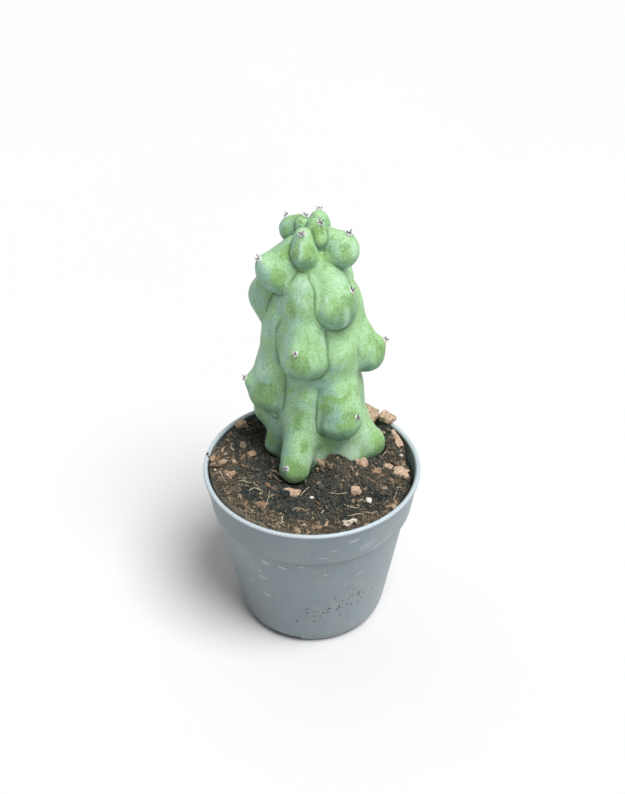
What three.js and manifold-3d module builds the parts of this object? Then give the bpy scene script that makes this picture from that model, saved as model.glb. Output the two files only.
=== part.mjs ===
/**
 * Blue myrtle cactus, lumpy form, in its round nursery pot. Millimetres, +Z up, front is -Y.
 * The origin lies on the pot's axis, at the level the pot stands on.
 *
 *   pot       thin moulded shell: rolled lip, straight collar, step, tapered wall, feet, drain holes
 *   compost   the fill, heaped toward one side and hollowed for the stem, the chips and the grains
 *   cactus    one grown body: stem core, drooping lobes, felt pads and spines
 *   bark_NN   single pieces of bark lying in shallow beds in the compost
 *   grain_NN  single pale stones lying in the compost
 */
import * as THREE from 'three';
import { mergeVertices } from 'three/addons/utils/BufferGeometryUtils.js';
import Module from 'manifold-3d';

const wasm = await Module();
wasm.setup();

// ---------------------------------------------------------------- driving dimensions (mm, degrees)

const GAP = 0.3; // clearance between pieces that touch
const POT_SIDES = 60;
const POT_HEIGHT = 100.4;
const RIM_RADIUS = 60;
const FOOT_INNER = 32.6;
const FOOT_OUTER = 36.1;
const FLOOR_UNDERSIDE = 3.8;
const FLOOR_TOP = 5.4;
const STEP_HEIGHT = 76.4;
const NOTCH = { count: 6, firstAzimuth: -23, width: 19, height: 3.6 };
const DRAIN = { radius: 4.2, circle: 24 };

const SOIL_LEVEL = 95; // compost height beside the stem
/** Heaps and hollows of the compost: [x, y, size, rise]. */
const MOUNDS = [[18, -10, 13, 3.5], [33, 6, 10, 2.6], [-8, -12, 9, -2.5], [-41, 34, 9, 2],
  [-50, -3, 9, 1.5], [45, 32, 9, 4.5], [49, 21, 8, 4.5], [34, 44, 9, 4]];

const STEM_AXIS = { base: [6, 22, 92], tip: [-1, 22, 235] };
const STEM_BOTTOM = 79; // buried end of the stem
const STEM_CORE = [[85, 26], [112, 24.5], [135, 24], [170, 23.5], [190, 21.5], [206, 17], [222, 10]];
const CORE_BLEND = 4;
const CACTUS_COLUMNS = 60;
const CACTUS_ROWS = 58;
const CROWN_ROWS = 0.17; // share of the net's rows that fan over the crown
const FOOT_ROWS = 0.93; // share of the rows above the buried end
const CROWN_HEIGHT = 227;
const FOOT_HEIGHT = 92;
const DROOP = -24; // elevation of the rays along the trunk
const RELAX_ROUNDS = 6;

/**
 * Lobes: [name, belly azimuth, height, reach, radius | root azimuth, height, reach, radius |
 *         blend at belly, blend at root, blend run | pad azimuth, pad elevation, beak length]
 * Azimuth 0 faces the front and grows toward +X; reach is measured from the stem axis.
 */
const LOBES = [
  ['right_back_low', 150, 101, 21.5, 11, 150, 130, 13, 10, 2, 8, 0.5, 150, 30, 0],
  ['right_back_mid', 152, 150, 25, 12, 152, 184, 12, 10, 0.9, 8, 0.4, 152, 35, 0],
  ['right_back_high', 148, 198, 19, 11.5, 148, 220, 8, 8, 0.9, 6, 0.4, 150, 38, 0],
  ['left_back_low', -142, 101, 25, 11.5, -142, 130, 14, 10, 2, 8, 0.5, -142, 30, 0],
  ['left_back_mid', -112, 121, 28, 11, -112, 158, 15, 11, 0.9, 8, 0.4, -112, 30, 0],
  ['left_back_high', -106, 190, 24.5, 11.3, -100, 214, 10, 9, 0.9, 6, 0.4, -104, 40, 0],
  ['left_low', -78, 101, 25.5, 7.5, -80, 125, 18, 9, 2, 6, 0.5, -70, 10, 0],
  ['left_mid', -83, 139, 26.5, 12.3, -83, 188, 16, 12, 0.9, 9, 0.35, -84, 33, 2.5],
  ['left_high', -68, 210.5, 19, 11, -50, 223, 8, 7.5, 0.9, 5, 0.35, -70, 46, 1],
  ['right_low', 80, 103, 28, 9, 80, 122, 12, 11.5, 6, 10, 0.6, 84, 14, 1],
  ['right_mid', 85, 160.5, 26, 11, 82, 194, 13, 12, 0.9, 9, 0.35, 88, 38, 1.5],
  ['right_high', 72, 223.5, 17, 9.8, 78, 228, 9, 7.5, 0.9, 4, 0.35, 72, 50, 0.5],
  ['front_low', -26, 102.5, 33, 9.8, -28, 138, 14, 11, 4, 10, 0.5, -40, 32, 0],
  ['front_mid', -21, 169, 20.5, 13.8, -12, 205, 11, 9, 0.9, 10, 0.35, -18, 38, 0.8],
  ['front_high', -19, 224.3, 9.5, 7.6, -18, 234.5, 8, 4.8, 0.6, 2, 0.2, -26, 74, 0],
  ['middle_low', 25, 129.5, 23, 13.1, 24, 166, 17, 7.5, 0.9, 9, 0.3, 44, 20, 0],
  ['middle_mid', 37, 197, 20, 12.2, 32, 221, 8, 7.8, 0.9, 5, 0.25, 58, 38, 1],
  ['middle_high', 46, 228.5, 9, 6.4, 44, 238.5, 5.5, 5, 0.6, 2, 0.2, 40, 70, 0],
  ['crown_left', -119, 230.7, 10, 7.5, -116, 233.8, 5, 6, 0.6, 3, 0.3, -120, 55, 0],
  ['crown_back', -150, 233.8, 5, 4.6, -152, 236.4, 4, 4, 0.6, 2, 0.3, 160, 70, 0],
  ['crown_right', 144, 233.3, 9, 6.5, 140, 236, 8, 5.4, 0.6, 2, 0.3, 144, 75, 0],
].map(([name, az, z, reach, radius, rootAz, rootZ, rootReach, rootRadius, tipBlend, rootBlend,
  blendRun, padAz, padEl, beak]) => ({ name, az, z, reach, radius, rootAz, rootZ, rootReach,
  rootRadius, tipBlend, rootBlend, blendRun, padAz, padEl, beak }));
const BEAK_RADIUS = 3.2;
const BEAK_BLEND = 5;

const PAD = { radius: 1.3, thickness: 0.75 };
const SPINE = { radius: 0.34, length: [2, 3.2], perPad: [3, 4], spread: 52 };

/**
 * Bark pieces: [x, y, rise, length, width, thickness, heading, pitch, roll].
 * Rise is the height of the piece's middle over the compost.
 */
const BARK = [
  [-40.3, 34.2, 1.4, 6.2, 5.4, 4.6, 20, 8, 12],
  [-52.6, 1.9, 1.2, 5.2, 4.2, 2.8, 84, 10, -14],
  [-45.2, 2.4, 1, 5.6, 5.2, 3, 50, 14, 8],
  [-46.2, -8, 0.8, 8.6, 3.6, 2.2, 8, 4, 16],
  [-10.9, -18.4, 0.8, 8.8, 5, 3.2, -6, 3, 10],
  [23.8, -20.2, 1, 5.4, 4.8, 3.6, 30, 10, 6],
  [20.6, -44.4, 0.7, 10.4, 4.2, 2.2, 12, 4, 10],
  [49.4, -1.6, 1, 8.8, 7, 3.6, -8, 8, 6],
  [42.6, 2.6, 0.7, 5.2, 3.4, 2, -12, 6, 10],
  [27.4, -1.4, 1.2, 7.2, 6.4, 4, 28, 16, 10],
  [35.2, -4.2, 0.5, 5.6, 3.8, 2, 5, 5, 8],
  [-27.2, -31.1, 0.5, 6, 4.6, 2.2, -25, 5, 6],
  [-34, 13, 0.7, 4.6, 4, 2.4, 40, 8, 8],
  [43.4, 37.4, 10.5, 8.4, 7, 4.4, -48, 2, 4],
  [48.2, 23.4, 2.6, 15.5, 3.8, 2.2, -71, 5, 12],
  [32.9, 44.8, 5.8, 12.4, 8.6, 1.7, -36, 4, 44],
];

/** Pale grains: [x, y, radius]. */
const GRAINS = [[30.4, -26.3, 2], [-0.2, -23.6, 1.2], [50.4, 13, 1.3]];

const COLOURS = {
  pot: [0x8796a3, 0.45], compost: [0x35291f, 0.95], cactus: [0x7fa872, 0.62],
  bark: [0xa9805f, 0.9], grain: [0xd9d2c6, 0.85],
};

// ---------------------------------------------------------------- small helpers

const rad = THREE.MathUtils.degToRad;
const clamp01 = (v) => Math.min(1, Math.max(0, v));
const smooth = (t) => t * t * (3 - 2 * t);

/** Repeatable random numbers in 0..1. */
function makeRandom(seed) {
  let state = seed >>> 0;
  return () => {
    state = (state + 0x6d2b79f5) >>> 0;
    let t = Math.imul(state ^ (state >>> 15), 1 | state);
    t = (t + Math.imul(t ^ (t >>> 7), 61 | t)) ^ t;
    return ((t ^ (t >>> 14)) >>> 0) / 4294967296;
  };
}

/** Polynomial smooth minimum of two distances. */
function blend(a, b, k) {
  const h = clamp01(0.5 + (0.5 * (b - a)) / k);
  return b + (a - b) * h - k * h * (1 - h);
}

/** Turns a three.js geometry into a manifold solid. */
function solidOf(geometry) {
  const bare = geometry.clone();
  bare.deleteAttribute('normal');
  bare.deleteAttribute('uv');
  const merged = mergeVertices(bare, 1e-4);
  const index = merged.index.array;
  const triangles = [];
  for (let i = 0; i < index.length; i += 3) {
    const [a, b, c] = [index[i], index[i + 1], index[i + 2]];
    if (a !== b && b !== c && c !== a) triangles.push(a, b, c);
  }
  return new wasm.Manifold(new wasm.Mesh({
    numProp: 3,
    vertProperties: new Float32Array(merged.attributes.position.array),
    triVerts: new Uint32Array(triangles),
  }));
}

/** Turns a manifold solid back into a three.js geometry. */
function geometryOf(solid) {
  const mesh = solid.getMesh();
  const geometry = new THREE.BufferGeometry();
  geometry.setAttribute('position', new THREE.BufferAttribute(new Float32Array(mesh.vertProperties), 3));
  geometry.setIndex(new THREE.BufferAttribute(new Uint32Array(mesh.triVerts), 1));
  geometry.computeVertexNormals();
  return geometry;
}

const group = new THREE.Group();
group.name = 'potted_cactus';

/** Adds one named mesh to the part. */
function addPiece(name, geometry, kind) {
  const [color, roughness] = COLOURS[kind];
  const material = new THREE.MeshStandardMaterial({ color, roughness, metalness: 0 });
  const mesh = new THREE.Mesh(geometry, material);
  mesh.name = name;
  group.add(mesh);
}

// ---------------------------------------------------------------- the cactus as a distance field

/** Point at an azimuth, reach from the stem axis and height. */
function stemPoint(azimuth, reach, z) {
  const { base, tip } = STEM_AXIS;
  const t = (z - base[2]) / (tip[2] - base[2]);
  return new THREE.Vector3(
    base[0] + (tip[0] - base[0]) * t + reach * Math.sin(rad(azimuth)),
    base[1] + (tip[1] - base[1]) * t - reach * Math.cos(rad(azimuth)),
    z,
  );
}

/** Unit direction from azimuth and elevation. */
function direction(azimuth, elevation) {
  const flat = Math.cos(rad(elevation));
  return new THREE.Vector3(Math.sin(rad(azimuth)) * flat, -Math.cos(rad(azimuth)) * flat,
    Math.sin(rad(elevation)));
}

/** Two spheres and the cone tangent to both, as a signed distance. */
class RoundCone {
  constructor(from, to, fromRadius, toRadius) {
    this.from = from;
    this.span = to.clone().sub(from);
    this.lengthSq = this.span.lengthSq();
    this.fromRadius = fromRadius;
    this.toRadius = toRadius;
    this.drop = fromRadius - toRadius;
    this.slantSq = this.lengthSq - this.drop * this.drop;
  }

  /** Returns [distance, place along the cone from 0 to 1]. */
  sample(p) {
    const ax = p.x - this.from.x;
    const ay = p.y - this.from.y;
    const az = p.z - this.from.z;
    const y = ax * this.span.x + ay * this.span.y + az * this.span.z;
    const z = y - this.lengthSq;
    const sx = ax * this.lengthSq - this.span.x * y;
    const sy = ay * this.lengthSq - this.span.y * y;
    const sz = az * this.lengthSq - this.span.z * y;
    const x2 = sx * sx + sy * sy + sz * sz;
    const y2 = y * y * this.lengthSq;
    const z2 = z * z * this.lengthSq;
    const k = Math.sign(this.drop) * this.drop * this.drop * x2;
    const place = clamp01(y / this.lengthSq);
    if (Math.sign(z) * this.slantSq * z2 > k) {
      return [Math.sqrt(x2 + z2) / this.lengthSq - this.toRadius, place];
    }
    if (Math.sign(y) * this.slantSq * y2 < k) {
      return [Math.sqrt(x2 + y2) / this.lengthSq - this.fromRadius, place];
    }
    const side = Math.sqrt((x2 * this.slantSq) / this.lengthSq) + y * this.drop;
    return [side / this.lengthSq - this.fromRadius, place];
  }
}

const coreCones = STEM_CORE.slice(1).map(([z, r], i) => new RoundCone(
  stemPoint(0, 0, STEM_CORE[i][0]), stemPoint(0, 0, z), STEM_CORE[i][1], r));

const lobeShapes = LOBES.map((lobe) => {
  const belly = stemPoint(lobe.az, lobe.reach, lobe.z);
  const root = stemPoint(lobe.rootAz, lobe.rootReach, lobe.rootZ);
  const toPad = direction(lobe.padAz, lobe.padEl);
  return {
    ...lobe,
    belly,
    toPad,
    cone: new RoundCone(root, belly, lobe.rootRadius, lobe.radius),
    beakAt: belly.clone().addScaledVector(toPad, lobe.radius + lobe.beak - BEAK_RADIUS),
  };
});

/** Signed distance to the skin of the cactus. */
function skinDistance(p) {
  let d = Infinity;
  for (const cone of coreCones) {
    const [q] = cone.sample(p);
    d = d === Infinity ? q : blend(d, q, CORE_BLEND);
  }
  for (const shape of lobeShapes) {
    let [q, place] = shape.cone.sample(p);
    if (shape.beak > 0) q = blend(q, p.distanceTo(shape.beakAt) - BEAK_RADIUS, BEAK_BLEND);
    const s = smooth(clamp01(place / shape.blendRun));
    d = blend(d, q, shape.rootBlend + (shape.tipBlend - shape.rootBlend) * s);
  }
  return -blend(-d, p.z - STEM_BOTTOM, 5);
}

/** Outward unit normal of the skin near a point. */
function skinNormal(p) {
  const e = 0.2;
  const probe = p.clone();
  const n = new THREE.Vector3();
  for (const axis of ['x', 'y', 'z']) {
    probe[axis] = p[axis] + e;
    const ahead = skinDistance(probe);
    probe[axis] = p[axis] - e;
    n[axis] = ahead - skinDistance(probe);
    probe[axis] = p[axis];
  }
  return n.normalize();
}

/** Walks from inside the stem along a ray to the first crossing of the given offset. */
function walkOut(origin, ray, offset) {
  let travelled = 0;
  const p = origin.clone();
  for (let i = 0; i < 90; i += 1) {
    p.copy(origin).addScaledVector(ray, travelled);
    const d = offset - skinDistance(p);
    if (d < 0.003) break;
    travelled += d * 0.85;
  }
  return p;
}

/**
 * Sphere geometry pulled onto the skin at a given offset. Rays fan up at the crown and droop along
 * the stem, so that they meet the undersides of the lobes; the net is then evened out on the skin.
 */
function skinGeometry(offset) {
  const sphere = new THREE.SphereGeometry(1, CACTUS_COLUMNS, CACTUS_ROWS);
  sphere.rotateX(Math.PI / 2);
  sphere.deleteAttribute('normal');
  sphere.deleteAttribute('uv');
  const geometry = mergeVertices(sphere, 1e-5);
  const position = geometry.attributes.position;
  const points = [];
  const ray = new THREE.Vector3();
  for (let i = 0; i < position.count; i += 1) {
    ray.fromBufferAttribute(position, i).normalize();
    const azimuth = THREE.MathUtils.radToDeg(Math.atan2(ray.x, -ray.y));
    const row = Math.acos(THREE.MathUtils.clamp(ray.z, -1, 1)) / Math.PI;
    const trunk = clamp01((row - CROWN_ROWS * 0.75) / (FOOT_ROWS - CROWN_ROWS * 0.75));
    let elevation = DROOP;
    if (row < CROWN_ROWS) {
      elevation = 90 + (DROOP - 90) * Math.sin((row / CROWN_ROWS) * (Math.PI / 2));
    } else if (row > FOOT_ROWS) {
      elevation = DROOP - (90 + DROOP) * ((row - FOOT_ROWS) / (1 - FOOT_ROWS));
    }
    const height = CROWN_HEIGHT + (FOOT_HEIGHT - CROWN_HEIGHT) * trunk;
    points.push(walkOut(stemPoint(0, 0, height), direction(azimuth, elevation), offset));
  }
  relax(points, geometry.index.array, offset);
  points.forEach((p, i) => position.setXYZ(i, p.x, p.y, p.z));
  return geometry;
}

/** Evens out a closed net of points, keeping each point on the skin at the given offset. */
function relax(points, index, offset) {
  const neighbours = points.map(() => new Set());
  for (let i = 0; i < index.length; i += 3) {
    for (let j = 0; j < 3; j += 1) neighbours[index[i + j]].add(index[i + ((j + 1) % 3)]);
  }
  for (let round = 0; round < RELAX_ROUNDS; round += 1) {
    const moved = points.map((p, i) => {
      const middle = new THREE.Vector3();
      for (const n of neighbours[i]) middle.add(points[n]);
      return middle.divideScalar(neighbours[i].size).sub(p);
    });
    points.forEach((p, i) => {
      const normal = skinNormal(p);
      p.addScaledVector(moved[i].addScaledVector(normal, -moved[i].dot(normal)), 0.5);
      for (let k = 0; k < 2; k += 1) p.addScaledVector(skinNormal(p), offset - skinDistance(p));
    });
  }
}

// ---------------------------------------------------------------- pot

function potSolid() {
  const profile = [
    [0, FLOOR_UNDERSIDE], [FOOT_INNER, FLOOR_UNDERSIDE], [FOOT_INNER, 0], [FOOT_OUTER, 0],
    [39.2, 1.6], [41.4, 4.6], [42.74, 8.85], [53.6, STEP_HEIGHT - 0.7],
    [53.8, STEP_HEIGHT + 0.3], [55.4, STEP_HEIGHT + 0.1], [55.9, STEP_HEIGHT + 0.7], [59.1, 96.7],
    [59.75, 97.5], [RIM_RADIUS, 98.6], [59.5, 99.9], [58.5, POT_HEIGHT], [57.5, 99.9],
    [57.1, 98.9], [57.55, 96.9], [54.4, STEP_HEIGHT + 1.6], [52.3, STEP_HEIGHT - 1],
    [41.5, 9.3], [39.9, FLOOR_TOP + 0.9], [37.8, FLOOR_TOP], [0, FLOOR_TOP],
  ].map(([r, z]) => new THREE.Vector2(r, z));
  const lathe = new THREE.LatheGeometry(profile, POT_SIDES);
  lathe.rotateX(Math.PI / 2);
  let solid = solidOf(lathe);
  for (let i = 0; i < NOTCH.count; i += 1) {
    const azimuth = NOTCH.firstAzimuth + (360 / NOTCH.count) * i;
    const side = direction(azimuth, 0);
    const notch = new THREE.BoxGeometry(NOTCH.width, 14, NOTCH.height * 2);
    notch.rotateZ(rad(azimuth));
    notch.translate(side.x * 39, side.y * 39, 0);
    const drain = new THREE.CylinderGeometry(DRAIN.radius, DRAIN.radius, 8, 16);
    drain.rotateX(Math.PI / 2);
    drain.translate(side.x * DRAIN.circle, side.y * DRAIN.circle, FLOOR_TOP);
    solid = solid.subtract(solidOf(notch)).subtract(solidOf(drain));
  }
  return solid;
}

// ---------------------------------------------------------------- compost

/** Height of the compost: heaped at the left, low at the right wall, mounded beside the stem. */
function compostHeight(x, y) {
  const r = Math.hypot(x, y);
  const edge = smooth(clamp01((r - 28) / 26));
  let h = SOIL_LEVEL + edge * (0.6 - 0.052 * x - 0.028 * y);
  for (const [cx, cy, size, rise] of MOUNDS) {
    h += rise * Math.exp(-((x - cx) ** 2 + (y - cy) ** 2) / size ** 2);
  }
  h -= 3 * smooth(clamp01((r - 52) / 3.6)) * smooth(clamp01((x - 5) / 45));
  h += 0.8 * Math.sin(x * 0.37 + 1.3 * Math.sin(y * 0.21)) * Math.sin(y * 0.33 + 0.8);
  return h + 0.4 * Math.sin(x * 0.83 + y * 0.41) * Math.cos(y * 0.77 - x * 0.29);
}

function compostSolid() {
  const rings = 13;
  const top = 55.9;
  const profile = [new THREE.Vector2(0, FLOOR_TOP + GAP), new THREE.Vector2(37.6, FLOOR_TOP + GAP),
    new THREE.Vector2(39.3, FLOOR_TOP + 1.1 + GAP), new THREE.Vector2(41.1, 9.5),
    new THREE.Vector2(51.9, STEP_HEIGHT - 0.9), new THREE.Vector2(54, STEP_HEIGHT + 1.8)];
  for (let i = 0; i < rings; i += 1) profile.push(new THREE.Vector2(top * (1 - i / rings), 90));
  profile.push(new THREE.Vector2(0, 90));
  const geometry = new THREE.LatheGeometry(profile, 54);
  geometry.rotateX(Math.PI / 2);
  const position = geometry.attributes.position;
  for (let i = 0; i < position.count; i += 1) {
    if (position.getZ(i) > 89) {
      position.setZ(i, compostHeight(position.getX(i), position.getY(i)));
    }
  }
  return solidOf(geometry);
}

// ---------------------------------------------------------------- bark and grains

/** An uneven slab of bark; `grow` widens every face for its bed. */
function barkGeometry([x, y, rise, length, width, thickness, heading, pitch, roll], seed, grow) {
  const random = makeRandom(seed);
  const geometry = new THREE.BoxGeometry(1, 1, 1, 3, 2, 1);
  const position = geometry.attributes.position;
  const jitter = new Map();
  for (let i = 0; i < position.count; i += 1) {
    const key = [position.getX(i), position.getY(i), position.getZ(i)].map((v) => v.toFixed(2)).join();
    if (!jitter.has(key)) {
      jitter.set(key, [random() - 0.5, random() - 0.5, random() - 0.5]);
    }
    const [jx, jy, jz] = jitter.get(key);
    const px = position.getX(i);
    const py = position.getY(i);
    const taper = 1 - 0.35 * Math.abs(px) - 0.2 * Math.abs(py);
    position.setXYZ(i,
      (px + jx * 0.16) * (length + 2 * grow),
      (py * (1 - 0.3 * Math.abs(px)) + jy * 0.2) * (width + 2 * grow),
      (position.getZ(i) * taper + jz * 0.12) * (thickness + 2 * grow));
  }
  geometry.rotateX(rad(roll));
  geometry.rotateY(rad(pitch));
  geometry.rotateZ(rad(heading));
  geometry.translate(x, y, compostHeight(x, y) + rise);
  return geometry;
}

/** A worn pebble; `grow` widens it for its bed. */
function grainGeometry([x, y, radius], grow) {
  const geometry = new THREE.IcosahedronGeometry(radius + grow, 1);
  geometry.scale(1.15, 0.9, 0.8);
  geometry.rotateZ(x);
  geometry.translate(x, y, compostHeight(x, y) + radius * 0.25);
  return geometry;
}

// ---------------------------------------------------------------- pads and spines

/** Joins a felt pad and its spines to the body at one growing point. */
function addPad(body, place, normal, random) {
  const turn = new THREE.Quaternion().setFromUnitVectors(new THREE.Vector3(0, 0, 1), normal);
  const pad = new THREE.SphereGeometry(PAD.radius, 7, 4);
  pad.rotateX(Math.PI / 2);
  pad.scale(1, 1, PAD.thickness / PAD.radius);
  pad.applyQuaternion(turn);
  pad.translate(place.x, place.y, place.z);
  let solid = body.add(solidOf(pad));
  const count = SPINE.perPad[0] + Math.floor(random() * (SPINE.perPad[1] - SPINE.perPad[0] + 1));
  const start = random() * 360;
  for (let i = 0; i < count; i += 1) {
    const length = SPINE.length[0] + random() * (SPINE.length[1] - SPINE.length[0]);
    const sunk = 0.9;
    const spine = new THREE.ConeGeometry(SPINE.radius, length + sunk, 3);
    spine.rotateX(Math.PI / 2);
    spine.translate(0, 0, (length + sunk) / 2 - sunk);
    spine.rotateY(rad(SPINE.spread * (0.5 + 0.5 * random())));
    spine.rotateZ(rad(start + (360 / count) * i));
    spine.applyQuaternion(turn);
    spine.translate(place.x, place.y, place.z);
    solid = solid.add(solidOf(spine));
  }
  return solid;
}

/** Finds where the faceted skin lies along a lobe's pad direction, coming from outside. */
function padPlace(shape, skin) {
  const from = shape.belly.clone().addScaledVector(shape.toPad, shape.radius + 14);
  const caster = new THREE.Raycaster(from, shape.toPad.clone().negate());
  return caster.intersectObject(skin)[0].point;
}

// ---------------------------------------------------------------- assembly

addPiece('pot', geometryOf(potSolid()), 'pot');

const skin = skinGeometry(0);
const skinMesh = new THREE.Mesh(skin);
let cactus = solidOf(skin);
const padRandom = makeRandom(41);
for (const shape of lobeShapes) {
  const place = padPlace(shape, skinMesh);
  cactus = addPad(cactus, place, skinNormal(place), padRandom);
}

let compost = compostSolid().subtract(solidOf(skinGeometry(GAP + 0.15)));
BARK.forEach((piece, i) => {
  compost = compost.subtract(solidOf(barkGeometry(piece, 100 + i, GAP)));
  addPiece(`bark_${String(i + 1).padStart(2, '0')}`, barkGeometry(piece, 100 + i, 0), 'bark');
});
GRAINS.forEach((piece, i) => {
  compost = compost.subtract(solidOf(grainGeometry(piece, GAP)));
  addPiece(`grain_${String(i + 1).padStart(2, '0')}`, grainGeometry(piece, 0), 'grain');
});
addPiece('compost', geometryOf(compost), 'compost');
addPiece('cactus', geometryOf(cactus), 'cactus');

export default group;
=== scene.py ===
"""Blue myrtle cactus, lumpy form, in its round nursery pot: the finished look.

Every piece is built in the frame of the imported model: metres, +Z up, front at -Y. Shapes are worked
out in millimetres and scaled once, when their mesh is made.
"""

import logging
import math
from dataclasses import dataclass, field
from enum import Enum

import bmesh
import bpy
import numpy as np
from mathutils import Matrix, Vector

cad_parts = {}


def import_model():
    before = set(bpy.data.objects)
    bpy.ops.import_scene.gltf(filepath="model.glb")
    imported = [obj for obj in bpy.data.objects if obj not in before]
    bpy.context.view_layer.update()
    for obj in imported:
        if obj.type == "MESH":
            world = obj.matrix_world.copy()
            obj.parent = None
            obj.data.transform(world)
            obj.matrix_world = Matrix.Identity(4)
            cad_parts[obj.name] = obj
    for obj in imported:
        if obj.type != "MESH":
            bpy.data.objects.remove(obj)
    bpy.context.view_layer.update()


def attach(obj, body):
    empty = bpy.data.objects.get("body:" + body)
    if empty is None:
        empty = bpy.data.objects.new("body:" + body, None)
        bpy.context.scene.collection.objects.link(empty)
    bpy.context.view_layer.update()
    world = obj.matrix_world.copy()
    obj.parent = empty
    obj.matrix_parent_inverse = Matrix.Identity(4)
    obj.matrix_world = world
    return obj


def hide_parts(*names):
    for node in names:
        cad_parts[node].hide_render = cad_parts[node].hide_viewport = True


MM = 0.001
LOG = logging.getLogger("cactus")
Rgb = tuple[float, float, float]
Factors = tuple[float, float, float]
Rows = tuple[tuple[float, ...], ...]
Socket = bpy.types.NodeSocket
Feed = Socket | float | tuple[float, ...]


class Kind(Enum):
    """Material slots of the record."""

    POT = "pot"
    COMPOST = "compost"
    SKIN = "cactus_skin"
    BARK = "bark"
    CREAM = "chip_cream"
    GRAIN = "grain"


# ------------------------------------------------------------------ shared numbers (mm, degrees)

# The pot: both faces of its floor, both ends of the taper as radius and height, and the height at
# which crumbs rest on the lip.
FLOOR_UNDERSIDE = 3.8
FLOOR_TOP = 5.4
TAPER_FOOT = (42.74, 8.85)
TAPER_HEAD = (53.6, 75.3)
LIP_REST = 100.6
# The stem: both ends of its leaning axis, the height where it ends in the compost, and its height
# and radius at each turn of its outline.
STEM_BASE = (6.0, 22.0, 92.0)
STEM_TIP = (-1.0, 22.0, 235.0)
STEM_BOTTOM = 79.0
STEM_CORE = ((85, 28), (98, 26), (112, 24.5), (135, 24), (170, 23.5), (190, 21.5), (206, 17.5),
             (222, 10))
# The compost: its usual level, and its mounds and hollows as x, y, width and rise.
SOIL_LEVEL = 95.0
MOUNDS = ((10, -6, 12, 12.2), (30, 3, 10, 3.5), (-20, 3, 8, 3.5), (-9, -16, 8, -3), (-41, 34, 9, 2),
          (-50, -3, 9, 1.5), (45, 32, 9, 4.5), (49, 21, 8, 4.5), (34, 44, 9, 4))


# ------------------------------------------------------------------ numeric helpers

def smooth01(t: np.ndarray) -> np.ndarray:
    """Clamps to 0..1 and eases both ends.

    Args:
        t: Any array.

    Returns:
        The eased values.
    """
    t = np.clip(t, 0.0, 1.0)
    return t * t * (3.0 - 2.0 * t)


def blend(a: np.ndarray, b: np.ndarray, k: np.ndarray | float) -> np.ndarray:
    """Polynomial smooth minimum of two distances.

    Args:
        a: First distances.
        b: Second distances.
        k: Blend width, in the distances' unit.

    Returns:
        The joined distances.
    """
    h = np.clip(0.5 + 0.5 * (b - a) / k, 0.0, 1.0)
    return b + (a - b) * h - k * h * (1.0 - h)


def lattice(ix: np.ndarray, iy: np.ndarray, iz: np.ndarray, seed: int) -> np.ndarray:
    """Repeatable value in 0..1 for each whole-number lattice point.

    Args:
        ix: Lattice column.
        iy: Lattice row.
        iz: Lattice layer.
        seed: Which field of values.

    Returns:
        One value for each point.
    """
    h = (ix.astype(np.int64) * 374761393 + iy.astype(np.int64) * 668265263
         + iz.astype(np.int64) * 2147483647 + seed * 974634777) & 0xFFFFFFFF
    h = ((h ^ (h >> 13)) * 1274126177) & 0xFFFFFFFF
    h = ((h ^ (h >> 16)) * 2246822519) & 0xFFFFFFFF
    return ((h ^ (h >> 15)) & 0xFFFFFF) / float(0xFFFFFF)


def noise(p: np.ndarray, scale: float, seed: int = 0) -> np.ndarray:
    """Smooth value noise in -1..1.

    Args:
        p: Points, one per row.
        scale: Lattice steps for each unit of length.
        seed: Which field of values.

    Returns:
        One value for each point.
    """
    q = p * scale
    base = np.floor(q)
    f = q - base
    f = f * f * (3.0 - 2.0 * f)
    base = base.astype(np.int64)
    total = np.zeros(len(p))
    for corner in range(8):
        dx, dy, dz = corner & 1, (corner >> 1) & 1, corner >> 2
        weight = ((f[:, 0] if dx else 1 - f[:, 0]) * (f[:, 1] if dy else 1 - f[:, 1])
                  * (f[:, 2] if dz else 1 - f[:, 2]))
        total += weight * lattice(base[:, 0] + dx, base[:, 1] + dy, base[:, 2] + dz, seed)
    return total * 2.0 - 1.0


def clods(p: np.ndarray, size: float, seed: int = 0) -> np.ndarray:
    """Rounded lumps: 1 at the middle of each lump and 0 in the cracks between them.

    Args:
        p: Points, one per row.
        size: Usual width of a lump.
        seed: Which field of lumps.

    Returns:
        One height for each point.
    """
    q = p / size
    base = np.floor(q).astype(np.int64)
    nearest = np.full(len(p), 9.0)
    for dx in (-1, 0, 1):
        for dy in (-1, 0, 1):
            for dz in (-1, 0, 1):
                cell = base + (dx, dy, dz)
                centre = np.stack([cell[:, i] + lattice(cell[:, 0], cell[:, 1], cell[:, 2],
                                                        seed + 7 * i) for i in range(3)], -1)
                nearest = np.minimum(nearest, ((q - centre) ** 2).sum(-1))
    return np.sqrt(np.clip(1.0 - nearest / 0.9, 0.0, 1.0))


class SeededRandom:
    """Small repeatable random source, the one that places the spines and shapes the bark."""

    def __init__(self, seed: int) -> None:
        """Starts the source from a seed."""
        self.state = seed & 0xFFFFFFFF

    def next(self) -> float:
        """Returns:
            The next number in 0..1.
        """
        self.state = (self.state + 0x6D2B79F5) & 0xFFFFFFFF
        t = self.state
        t = ((t ^ (t >> 15)) * (1 | t)) & 0xFFFFFFFF
        u = (t + (((t ^ (t >> 7)) * (61 | t)) & 0xFFFFFFFF)) & 0xFFFFFFFF
        t = u ^ t
        return ((t ^ (t >> 14)) & 0xFFFFFFFF) / 4294967296.0


def direction(azimuth: float, elevation: float) -> np.ndarray:
    """Unit direction.

    Args:
        azimuth: Degrees from the front, growing toward +X.
        elevation: Degrees over the horizon.

    Returns:
        The direction as x, y, z.
    """
    a, e = math.radians(azimuth), math.radians(elevation)
    return np.array([math.sin(a) * math.cos(e), -math.cos(a) * math.cos(e), math.sin(e)])


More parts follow.
